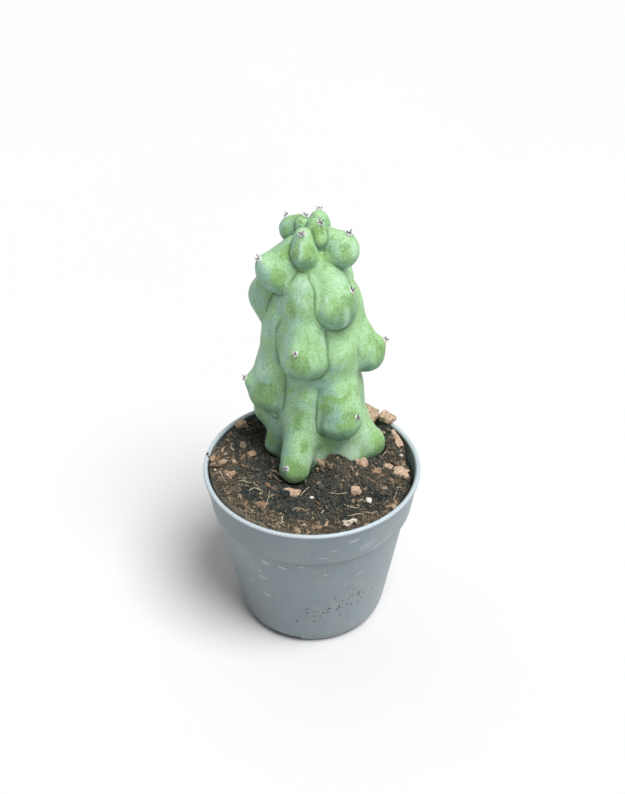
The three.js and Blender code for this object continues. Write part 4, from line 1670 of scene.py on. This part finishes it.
@dataclass
class Bark:
    """The sixteen bark pieces, each shaped as its solid and then broken up finely."""

    rounding: float = 0.2
    cuts: int = 2
    draw_in: float = 0.2

    def lattice_points(self, chip: Chip, seed: int, p: np.ndarray) -> np.ndarray:
        """Bends a unit box into the chip's uneven slab.

        Args:
            chip: Which chip.
            seed: Seed of its unevenness.
            p: Points of a unit box split 3 by 2 by 1.

        Returns:
            The moved points.
        """
        random = SeededRandom(seed)
        jitter: dict[tuple[str, ...], tuple[float, float, float]] = {}
        for key in three_box_order():
            if key not in jitter:
                jitter[key] = (random.next() - 0.5, random.next() - 0.5, random.next() - 0.5)
        moves = np.array([jitter[tuple(f"{c:.2f}" for c in row + 0.0)] for row in p])
        taper = 1 - 0.35 * np.abs(p[:, 0]) - 0.2 * np.abs(p[:, 1])
        return np.stack([
            (p[:, 0] + moves[:, 0] * 0.16) * chip.length,
            (p[:, 1] * (1 - 0.3 * np.abs(p[:, 0])) + moves[:, 1] * 0.2) * chip.width,
            (p[:, 2] * taper + moves[:, 2] * 0.12) * chip.thickness], -1)

    def build_one(self, chip: Chip, index: int, material: bpy.types.Material) -> bpy.types.Object:
        """Builds one chip.

        Args:
            chip: Which chip.
            index: Its number from zero.
            material: Its material.

        Returns:
            The piece that stands for its node.
        """
        bm = bmesh.new()
        bmesh.ops.create_cube(bm, size=1.0)
        for axis, cuts in ((0, (-1 / 6, 1 / 6)), (1, (0.0,))):
            for cut in cuts:
                at, across = [0.0, 0.0, 0.0], [0.0, 0.0, 0.0]
                at[axis], across[axis] = cut, 1.0
                bmesh.ops.bisect_plane(bm, geom=bm.verts[:] + bm.edges[:] + bm.faces[:],
                                       plane_co=at, plane_no=across)
        flat = np.round(np.array([v.co for v in bm.verts]), 4)
        shaped = self.lattice_points(chip, 100 + index, flat)
        for vert, place in zip(bm.verts, shaped):
            vert.co = place
        bmesh.ops.bevel(bm, geom=bm.edges[:], offset=self.rounding * chip.thickness, segments=2,
                        profile=0.5, material=-1, affect="EDGES", clamp_overlap=True)
        bmesh.ops.triangulate(bm, faces=bm.faces)
        bmesh.ops.subdivide_edges(bm, edges=bm.edges[:], cuts=self.cuts, use_grid_fill=True)
        bm.normal_update()
        p = np.array([v.co for v in bm.verts])
        n = np.array([v.normal for v in bm.verts])
        layers = np.abs(np.sin(p[:, 2] * 3.6 + 1.8 * noise(p, 0.4, index)))
        broken = clods(p * (0.6, 1.0, 1.0), 2.2, 80 + index)
        bulk = min(1.0, chip.thickness / 2.9) * (0.55 if chip.tone >= 1.0 else 1.0)
        rough = bulk * (0.75 * noise(p, 0.33, 40 + index)
                        + 0.45 * noise(p * (0.6, 1.2, 1.2), 0.8, 50 + index)
                        + 0.18 * noise(p, 1.9, index) + 0.45 * broken - 0.25 * (1 - layers))
        p = p + n * (rough - self.draw_in)[:, None]
        turn = (Matrix.Rotation(math.radians(chip.heading), 3, "Z")
                @ Matrix.Rotation(math.radians(chip.pitch), 3, "Y")
                @ Matrix.Rotation(math.radians(chip.roll), 3, "X"))
        lift = compost_height(np.array([chip.x]), np.array([chip.y]))[0] + chip.rise
        placed = p @ np.array(turn).T + (chip.x, chip.y, lift)
        for vert, place in zip(bm.verts, placed * MM):
            vert.co = place
        mesh = mesh_from_bmesh(f"{chip.node}_piece", bm)
        tone = chip.tone + 0.25 * noise(p, 0.8, 60 + index) + 0.35 * (broken - 0.5)
        set_attribute(mesh, "tone", np.clip(tone, 0, 1))
        return mesh_object(f"{chip.node}_piece", mesh, material, (chip.node,))

    def build(self) -> list[bpy.types.Object]:
        """Returns:
            All chips and grains.
        """
        brown = EarthFinish("bark_brown", (0.24, 0.13, 0.085), (0.86, 0.64, 0.475),
                            (0.60, 0.34, 0.21), 1.1, 0.4, (0.11, 0.06, 0.04)).build()
        cream = EarthFinish("bark_cream", (0.50, 0.38, 0.26), (0.88, 0.84, 0.75),
                            (0.66, 0.52, 0.36), 0.9, 0.3, (0.36, 0.23, 0.14)).build()
        pieces = [self.build_one(chip, i, cream if chip.node == "bark_07" else brown)
                  for i, chip in enumerate(CHIPS)]
        stone = PlainFinish("pale_stone", (0.44, 0.39, 0.31), (0.84, 0.80, 0.72), 0.85).build()
        points, faces = ball(3)
        for i, (x, y, radius) in enumerate(GRAINS):
            heap = Heap()
            p = points * radius * 0.94 * (1 + 0.22 * noise(points * 2 + i * 5, 0.8, 70))[:, None]
            p = turned(p * (1.1, 0.88, 0.78), x)
            lift = compost_height(np.array([x]), np.array([y]))[0] + radius * 0.25
            heap.add((p + (x, y, lift))[None], faces, np.array([0.8]))
            pieces.append(mesh_object(f"grain_{i + 1:02d}_piece", heap.mesh(f"grain_{i + 1:02d}"),
                                      stone, (f"grain_{i + 1:02d}",)))
        return pieces


def three_box_order() -> list[tuple[str, ...]]:
    """Corner keys of a box split 3 by 2 by 1, in the order its solid visits them.

    Returns:
        One key of three rounded coordinates for each visited corner.
    """
    keys = []
    for u, v, w, u_dir, v_dir, depth, nu, nv in BOX_SIDES:
        for iy in range(nv + 1):
            for ix in range(nu + 1):
                row = [0.0, 0.0, 0.0]
                row[u] = (ix / nu - 0.5) * u_dir
                row[v] = (iy / nv - 0.5) * v_dir
                row[w] = depth / 2
                keys.append(tuple(f"{c + 0.0:.2f}" for c in row))
    return keys


# Scraps laid singly, of tan bark, of pale slivers and of brown crumbs lodged on the lip: x, y, lift
# over the bed, half length, half width, half thickness, heading, paleness.
SCRAPS = (
    (-54.8, 0.4, 0.6, 2.4, 1.7, 1.0, 80, 0.6), (-54.4, -4.2, 0.4, 1.9, 1.1, 0.8, 35, 0.4),
    (-49.0, -2.6, 0.7, 3.0, 2.1, 1.1, 62, 0.6), (-49.6, -14.4, 0.3, 2.4, 0.9, 0.6, -62, 0.5),
    (-45.2, -10.2, 0.3, 1.7, 1.2, 0.7, -35, 0.5), (-50.6, -8.6, 0.3, 1.6, 0.6, 0.5, 65, 0.75),
    (-52.4, -10.0, 0.3, 2.6, 0.5, 0.5, 62, 0.7), (-24.6, -11.4, 0.4, 2.4, 1.3, 0.9, -60, 0.2),
    (40.5, -33.0, 0.3, 2.0, 1.2, 0.7, 30, 0.4), (2.4, -50.6, 0.3, 2.6, 1.3, 0.7, 15, 0.4),
    (-8.0, -52.0, 0.3, 2.0, 1.0, 0.7, -20, 0.5), (27.6, -46.0, 0.3, 2.2, 1.0, 0.7, 35, 0.6),
    (51.0, 5.0, 0.3, 1.9, 1.2, 0.8, 70, 0.4),
)
SLIVERS = (
    (-48.6, -3.4, 1.9, 2.2, 0.65, 0.4, 38, 0.8), (-48.4, 3.6, 0.6, 2.1, 0.55, 0.4, 48, 0.7),
    (-52.9, -8.2, 0.5, 0.8, 0.8, 0.6, 0, 0.9), (-44.9, 15.3, 0.5, 2.3, 0.5, 0.4, -55, 0.9),
    (18.2, -47.6, 0.4, 1.5, 1.0, 0.5, 40, 0.9), (5.6, -36.2, 0.4, 1.3, 0.5, 0.3, 60, 0.8),
)
LODGED = (
    (-58.3, 7.5, 0.1, 1.1, 0.7, 0.6, 65, 0.1), (-57.4, 5.9, -0.3, 0.9, 0.7, 0.5, 20, 0.5),
)
# Heaps and hollows of the bed: x, y, width, depth, rise.
HEAPS = (
    (-54.5, 5, 3.6, 8, 1.2), (22, -7, 12, 6, 3.2), (12, -10, 7, 5, 2.0), (43, 27, 9, 12, 3.0),
    (-50, 0, 6, 12, 1.4), (-34, -8, 6, 8, -1.5), (-24, 6, 7, 9, -1.2), (2, -30, 18, 7, -0.8),
    (30, -18, 8, 6, -1.0),
)
# Long straws: x, y, length, heading and how far the middle bows aside.
STRAWS = (
    (-24.3, -27.5, 19.0, -98, 0.7), (-21.6, -22.5, 6.4, -118, 0.0), (-30.3, -14.9, 8.7, -71, 0.1),
    (-36.3, -11.9, 7.1, 6, -0.5), (-15.7, -44.5, 6.9, -97, 0.0), (-3.9, -19.4, 8.4, 50, 0.1),
    (44.6, -22.3, 13.0, -102, 0.6), (0.5, -34.7, 3.9, 67, 0.0), (-30.1, -20.4, 8.3, -2, 2.2),
    (47.4, -13.8, 3.6, -161, 0.0), (30.4, -37.0, 8.6, -20, -1.8), (-15.9, -42.1, 6.1, 59, 0.0),
    (15.8, -18.7, 2.9, -70, 0.0), (50.5, 17.4, 9.0, -101, 0.3), (-28.0, 45.8, 7.3, 7, 2.3),
    (6.9, -50.4, 7.2, 19, 1.3), (22.5, -39.1, 8.0, 12, -0.3), (33.0, -39.4, 6.1, 52, 0.0),
    (-5.2, -49.1, 6.9, -38, 0.9), (-43.9, -5.4, 6.7, -1, -1.2), (-45.3, 18.2, 3.3, -63, 0.0),
    (41.3, 12.9, 4.5, 60, 0.0), (14.0, -22.1, 10.3, 3, -1.1), (-18.4, -7.4, 7.2, -39, -1.1),
    (-6.5, -35.7, 7.8, 16, 2.0), (-32.8, -38.4, 8.6, -40, 0.7), (20.8, -30.5, 9.2, -16, -1.8),
    (-49.8, -11.5, 8.4, -64, 0.3), (-17.0, -50.8, 6.2, -20, 1.9), (26.3, -27.2, 4.6, -14, 0.0),
    (7.0, -42.8, 4.2, 61, 0.0), (40.9, -27.1, 3.6, 37, 0.0), (-38.7, -26.5, 5.4, 71, 0.0),
)


@dataclass
class Compost:
    """Peat and bark fill: the bed, loose crumbs, fibres and flakes."""

    cactus: Cactus
    segments: int = 540
    rings: int = 168
    top_radius: float = 56.6
    hidden_height: float = 88.0
    straw_lift: float = 0.7
    straw_slope: float = 0.075

    def surface(self, x: np.ndarray, y: np.ndarray) -> np.ndarray:
        """Height of the bed with its lumps.

        Args:
            x: Places toward the right.
            y: Places toward the back.

        Returns:
            One height for each place.
        """
        flat = np.stack([x, y, np.zeros_like(x)], -1)
        rough = 0.42 + 0.95 * self.brownness(x, y)
        h = compost_height(x, y) + rough * (1.5 * clods(flat, 6.4, 1) + 0.8 * clods(flat, 2.6, 2))
        h = h + 0.40 * clods(flat, 1.2, 3) + 1.3 * noise(flat, 0.15, 4) + 0.4 * noise(flat, 0.8, 5)
        h = h + 0.22 * noise(flat, 1.9, 6) - 1.4
        for cx, cy, wide, deep, rise in HEAPS:
            h = h + rise * np.exp(-((x - cx) / wide) ** 2 - ((y - cy) / deep) ** 2)
        return h + 0.8 * smooth01((np.hypot(x, y) - 50) / 6) * smooth01((10 - x) / 30)

    def build_bed(self) -> bpy.types.Object:
        """Returns:
            The fill as one closed piece that stands for the node compost.
        """
        wall = [(37.4, 5.8), (40.8, 9.6), (51.7, 75.4), (53.8, 78.4), (55.9, 91.0)]
        angles = np.arange(self.segments) * 2 * math.pi / self.segments
        share = np.arange(self.rings) / self.rings
        radii = [r for r, _ in wall] + list(self.top_radius * (1 - share ** 1.12))
        points = [np.array([[0.0, 0.0, wall[0][1]]])]
        for i, r in enumerate(radii):
            x, y = r * np.sin(angles), -r * np.cos(angles)
            if i < len(wall):
                z = np.full(self.segments, wall[i][1])
            else:
                z = self.surface(x, y)
                inside = self.cactus.distance(np.stack([x, y, z + 0.6], -1)) < 0.3
                z = np.where(inside, self.hidden_height, z)
            points.append(np.stack([x, y, z], -1))
        points.append(np.array([[0.0, 0.0, self.hidden_height]]))
        p = np.concatenate(points)
        n = self.segments
        j = np.arange(n)
        k = (j + 1) % n
        faces = [np.stack([np.zeros(n, int), k + 1, j + 1], -1)]
        for i in range(len(radii) - 1):
            a = 1 + i * n
            faces += [np.stack([a + j, a + k, a + n + k], -1),
                      np.stack([a + j, a + n + k, a + n + j], -1)]
        last = 1 + (len(radii) - 1) * n
        faces.append(np.stack([last + j, last + k, np.full(n, len(p) - 1)], -1))
        mesh = mesh_from_arrays("compost_bed", p, np.concatenate(faces))
        tone = 0.15 + 0.3 * noise(p, 0.16, 30) + 0.65 * self.brownness(p[:, 0], p[:, 1])
        set_attribute(mesh, "tone", np.clip(tone, 0, 1))
        finish = EarthFinish("compost_peat", (0.052, 0.063, 0.061), (0.29, 0.255, 0.185),
                             (0.135, 0.132, 0.105), 1.3, 0.5, (0.017, 0.020, 0.019))
        return mesh_object("compost_bed", mesh, finish.build(), ("compost",))

    @staticmethod
    def brownness(x: np.ndarray, y: np.ndarray) -> np.ndarray:
        """How fibrous and brown the fill is: most at the left edge, the front edge and the mound.

        Args:
            x: Places toward the right.
            y: Places toward the back.

        Returns:
            0 for dark peat, 1 for brown fibre.
        """
        left = np.exp(-((x + 50) / 13) ** 2 - ((y + 8) / 26) ** 2)
        front = smooth01((np.hypot(x - 4, y) - 40) / 10) * smooth01((-y - 18) / 20)
        mound = 0.8 * np.exp(-((x - 13) / 14) ** 2 - ((y + 8) / 8) ** 2)
        right = 0.7 * np.exp(-((x - 46) / 9) ** 2 - (y / 26) ** 2)
        flat = np.stack([x, y, np.zeros_like(x)], -1)
        total = left + 0.9 * front + mound + right + 0.3 * noise(flat, 0.11, 90) - 0.14
        return np.clip(total, 0, 1)

    def spots(self, count: int, rng: np.random.Generator, bias: float) -> np.ndarray:
        """Seeded places on the open compost.

        Args:
            count: How many are wanted.
            rng: Random source.
            bias: 0 spreads them evenly, 1 gathers them where the fill is brown.

        Returns:
            x and y, one place per row.
        """
        x, y = rng.uniform(-56, 56, (2, count * 6))
        liked = 1 - bias + bias * self.brownness(x, y)
        keep = (np.hypot(x, y) < self.top_radius - 1) & (rng.random(count * 6) < liked)
        x, y = x[keep], y[keep]
        clear = self.cactus.distance(np.stack([x, y, compost_height(x, y) + 0.5], -1)) > 0.6
        return np.stack([x[clear], y[clear]], -1)[:count]

    def build_crumbs(self, name: str, count: int, seed: int, bias: float,
                     sizes: tuple[float, float], shape: Factors, finish: EarthFinish, kind: Kind,
                     detail: int) -> bpy.types.Object:
        """Scatters loose crumbs as one piece.

        Args:
            name: Name of the piece.
            count: How many crumbs.
            seed: Seed of places and shapes.
            bias: How far they gather in the brown areas.
            sizes: Smallest and largest radius.
            shape: Length, width and thickness over that radius.
            finish: Their material.
            kind: Their slot; not used.
            detail: Fineness of each crumb.

        Returns:
            The piece.
        """
        rng = np.random.default_rng(seed)
        base, faces = ball(detail)
        spots = self.spots(count, rng, bias)
        many = len(spots)
        size = sizes[0] + (sizes[1] - sizes[0]) * rng.random(many) ** 2.6
        stretch = np.array(shape) * rng.uniform(0.7, 1.4, (many, 3)) * size[:, None]
        bumps = 1 + 0.28 * rng.standard_normal((many, len(base))).clip(-1.3, 1.3)
        if detail > 1:
            joined = (base[None] * 2.2 + spots[:, None, :1] * (1.0, 0.7, 0.3)).reshape(-1, 3)
            bumps = 1 + 0.4 * noise(joined, 0.8, seed).reshape(many, -1)
        solid = base[None] * bumps[..., None] * stretch[:, None, :]
        tumbled = np.einsum("nij,nvj->nvi", spins(rng, many, 0.28), solid)
        lift = self.surface(spots[:, 0], spots[:, 1]) + 0.4 * stretch[:, 2]
        placed = tumbled + np.concatenate([spots, lift[:, None]], 1)[:, None, :]
        kept = placed[np.hypot(placed[..., 0], placed[..., 1]).max(1) < self.top_radius]
        heap = Heap()
        heap.add(kept, faces, rng.random(len(kept)))
        return mesh_object(name, heap.mesh(name, detail > 1), finish.build())

    def build_scraps(self, name: str, rows: Rows, finish: EarthFinish) -> bpy.types.Object:
        """Lays uneven scraps, each in its own place, as one piece.

        Args:
            name: Name of the piece.
            rows: Place, lift, half sizes, heading and paleness of each.
            finish: Their material.

        Returns:
            The piece.
        """
        base, faces = ball(3)
        heap = Heap()
        for i, (x, y, lift, long, wide, thick, heading, tone) in enumerate(rows):
            p = np.sign(base) * np.abs(base) ** 0.8 * (long, wide, thick)
            uneven = 0.30 * noise(p + i * 7.3, 0.45, 120) + 0.14 * noise(p + i * 3.1, 1.4, 121)
            p = turned(p * (1 + uneven)[:, None], math.radians(heading))
            on_lip = math.hypot(x, y) > self.top_radius
            bed = LIP_REST if on_lip else self.surface(np.array([x]), np.array([y]))[0]
            heap.add((p + (x, y, bed + lift))[None], faces, np.array([tone]))
        return mesh_object(name, heap.mesh(name, True), finish.build())

    @staticmethod
    def bridged(z: np.ndarray, t: np.ndarray, follow: float) -> np.ndarray:
        """Heights of stiff fibres that lie across the lumps below them.

        Args:
            z: Heights of the surface, one fibre per row.
            t: Places along each fibre, centred on 0.
            follow: 0 for a straight fibre, 1 for one that follows each lump.

        Returns:
            Heights of the same shape.
        """
        slope = (z * t).sum(1, keepdims=True) / (t * t).sum()
        line = z.mean(1, keepdims=True) + slope * t
        return line + follow * (z - line)

    def build_fibres(self, name: str, count: int, seed: int, length: tuple[float, float],
                     radius: float, bias: float, bend: float,
                     finish: EarthFinish) -> bpy.types.Object:
        """Lays thin curved fibres as one piece.

        Args:
            name: Name of the piece.
            count: How many fibres.
            seed: Seed of places and shapes.
            length: Shortest and longest.
            radius: Usual radius.
            bias: How far they gather in the brown areas.
            bend: Usual turn from end to end, in radians.
            finish: Their material.

        Returns:
            The piece.
        """
        rng = np.random.default_rng(seed)
        spots = self.spots(count, rng, bias)
        many = len(spots)
        t = np.linspace(-0.5, 0.5, 6)
        size = (length[0] + (length[1] - length[0]) * rng.random(many) ** 2)[:, None]
        angle = rng.uniform(0, 2 * math.pi, (many, 1)) + rng.normal(0, bend, (many, 1)) * t
        x = np.cumsum(np.cos(angle), 1) * size / 6
        y = np.cumsum(np.sin(angle), 1) * size / 6
        x = x - x.mean(1, keepdims=True) + spots[:, :1]
        y = y - y.mean(1, keepdims=True) + spots[:, 1:]
        z = self.surface(x.ravel(), y.ravel()).reshape(many, -1)
        arch = rng.uniform(0, 1.2, (many, 1)) * (0.25 - t ** 2) * 2
        arch = arch + rng.normal(0, 0.9, (many, 1)) * t
        z = self.bridged(z, t, 0.35) + rng.uniform(0.1, 0.8, (many, 1)) + arch
        paths = np.stack([x, y, z], -1)
        clear = self.cactus.distance(paths.reshape(-1, 3)).reshape(many, -1).min(1) > 0.4
        paths = paths[clear & (np.hypot(x, y).max(1) < 56.4)]
        many = len(paths)
        radii = radius * rng.uniform(0.6, 1.4, (many, 1)) * (1 - 0.65 * np.abs(2 * t) ** 3)
        heap = Heap()
        heap.add(*tubes(paths, radii, 3), rng.random(many))
        return mesh_object(name, heap.mesh(name), finish.build())

    def build_straws(self, finish: EarthFinish) -> bpy.types.Object:
        """Lays the long pale straws, each in its own place.

        Args:
            finish: Their material.

        Returns:
            The piece.
        """
        rng = np.random.default_rng(77)
        x, y, length, heading, bow = np.array(STRAWS, dtype=float).T[:, :, None]
        t = np.linspace(-0.5, 0.5, 10)
        wave = bow * (1 - 4 * t ** 2) + rng.normal(0, 0.25, x.shape) * np.sin(t * 7)
        c, d = np.cos(np.radians(heading)), np.sin(np.radians(heading))
        px, py = x + length * t * c - wave * d, y + length * t * d + wave * c
        z = self.surface(px.ravel(), py.ravel()).reshape(px.shape)
        line = self.bridged(z, t, 0.1)
        line = line + self.straw_lift * (z - line).max(1, keepdims=True) + self.straw_slope * length
        z = line + rng.uniform(0.0, 1.0, x.shape) * (0.25 - t ** 2) * 4
        radii = rng.uniform(0.16, 0.30, x.shape) * (1 - 0.55 * np.abs(2 * t) ** 4)
        heap = Heap()
        heap.add(*tubes(np.stack([px, py, z], -1), radii, 6), rng.uniform(0.4, 1.0, len(x)))
        return mesh_object("long_straws", heap.mesh("long_straws"), finish.build())

    def build(self) -> list[bpy.types.Object]:
        """Returns:
            The bed and everything loose on it.
        """
        peat = EarthFinish("crumb_peat", (0.038, 0.047, 0.046), (0.155, 0.165, 0.145),
                           (0.088, 0.094, 0.079), 1.8, 0.3)
        brown = EarthFinish("crumb_brown", (0.10, 0.084, 0.062), (0.44, 0.345, 0.245),
                            (0.25, 0.165, 0.105), 1.8, 0.3)
        tan = EarthFinish("crumb_tan", (0.28, 0.18, 0.11), (0.70, 0.52, 0.37),
                          (0.50, 0.30, 0.18), 1.6, 0.2)
        root = EarthFinish("fibre_brown", (0.09, 0.077, 0.057), (0.46, 0.365, 0.25),
                           (0.25, 0.175, 0.11), 1.4, 0.1)
        straw = EarthFinish("fibre_straw", (0.28, 0.21, 0.13), (0.74, 0.63, 0.46),
                            (0.46, 0.34, 0.21), 1.4, 0.1)
        pale = EarthFinish("straw_pale", (0.42, 0.32, 0.20), (0.86, 0.76, 0.58),
                           (0.62, 0.48, 0.32), 1.2, 0.1)
        earth, bark = Kind.COMPOST, Kind.BARK
        crumbs = (
            ("peat_crumbs", 4700, 11, 0.0, (0.15, 0.95), (1.1, 0.9, 0.8), peat, earth, 1),
            ("brown_crumbs", 2300, 21, 0.95, (0.18, 1.1), (1.6, 0.8, 0.6), brown, earth, 1),
            ("bark_flakes", 430, 31, 0.85, (0.25, 1.4), (1.9, 0.9, 0.4), tan, bark, 1),
            ("peat_clumps", 70, 61, 0.2, (0.9, 2.1), (1.2, 1.0, 0.7), peat, earth, 3),
            ("bark_clumps", 46, 71, 0.9, (0.9, 2.0), (1.4, 0.9, 0.7), brown, earth, 3),
            ("tan_clumps", 22, 83, 0.9, (0.8, 1.9), (1.5, 0.8, 0.6), tan, bark, 3),
        )
        fibres = (
            ("peat_fibres", 2500, 41, (1.2, 5.5), 0.075, 0.15, 1.0, peat),
            ("brown_fibres", 3500, 43, (1.5, 8.5), 0.085, 0.8, 1.0, root),
            ("straw_fibres", 520, 51, (1.5, 8.0), 0.11, 0.6, 0.45, straw),
        )
        return [
            self.build_bed(),
            *(self.build_crumbs(*row) for row in crumbs),
            *(self.build_fibres(*row) for row in fibres),
            self.build_straws(pale),
            self.build_scraps("bark_scraps", SCRAPS, tan),
            self.build_scraps("pale_slivers", SLIVERS, pale),
            self.build_scraps("lodged_crumbs", LODGED, brown),
        ]


# ------------------------------------------------------------------ studio

@dataclass(frozen=True)
class Studio:
    """Plain pale floor, soft light and the camera."""

    pitch: float = 36.111
    roll: float = -0.245
    eye: tuple[float, float, float] = (0.0, -0.49257, 0.50454)
    lens: float = 52.14
    shift: float = 0.00116
    surround: float = 0.20
    floor_tones: tuple[Rgb, Rgb] = ((0.84, 0.84, 0.84), (0.87, 0.87, 0.87))
    floor_size: float = 6.0

    def build_floor(self) -> None:
        """Adds the floor."""
        bm = bmesh.new()
        bmesh.ops.create_grid(bm, x_segments=4, y_segments=4, size=self.floor_size)
        floor = new_object("floor", mesh_from_bmesh("floor", bm))
        g = Graph("floor_matte")
        shade = g.noise(0.002, 2, 0.5)
        color = g.mix(shade, *self.floor_tones)
        floor.data.materials.append(g.finish(color, 0.9))

    def build_lights(self) -> None:
        """Adds the soft boxes and the pale surround."""
        world = bpy.data.worlds.new("surround")
        bpy.context.scene.world = world
        world.use_nodes = True
        back = world.node_tree.nodes["Background"]
        back.inputs["Color"].default_value = (1.0, 1.0, 1.0, 1.0)
        back.inputs["Strength"].default_value = self.surround
        for name, toward, spread, strength in (("key", (0.33, -0.33, 1.0), 32, 3.0),
                                               ("back", (-0.25, 0.5, 0.9), 70, 0.40)):
            light = bpy.data.lights.new(name, "SUN")
            light.angle, light.energy = math.radians(spread), strength
            lamp = new_object(name, light)
            lamp.location = toward
            lamp.rotation_euler = (-Vector(toward)).to_track_quat("-Z", "Y").to_euler()

    def build_camera(self) -> None:
        """Adds the camera and sets the colour handling."""
        data = bpy.data.cameras.new("camera")
        data.lens, data.sensor_width, data.clip_start = self.lens, 36.0, 0.01
        data.shift_x = self.shift
        camera = new_object("camera", data)
        camera.location = self.eye
        tilt = Matrix.Rotation(math.radians(90 - self.pitch), 4, "X")
        camera.rotation_euler = (tilt @ Matrix.Rotation(math.radians(self.roll), 4, "Z")).to_euler()
        scene = bpy.context.scene
        scene.camera = camera
        scene.view_settings.view_transform = "Standard"
        scene.view_settings.look = "None"


# ------------------------------------------------------------------ main

def main() -> None:
    """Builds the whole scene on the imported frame."""
    logging.basicConfig(level=logging.INFO, format="%(name)s %(message)s")
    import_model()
    studio = Studio()
    studio.build_camera()
    studio.build_floor()
    studio.build_lights()
    cactus = Cactus()
    cactus.build_skin()
    cactus.build_pads()
    pot = Pot()
    pot.build()
    pot.build_specks()
    Compost(cactus).build()
    Bark().build()


if __name__ == "__main__":
    main()
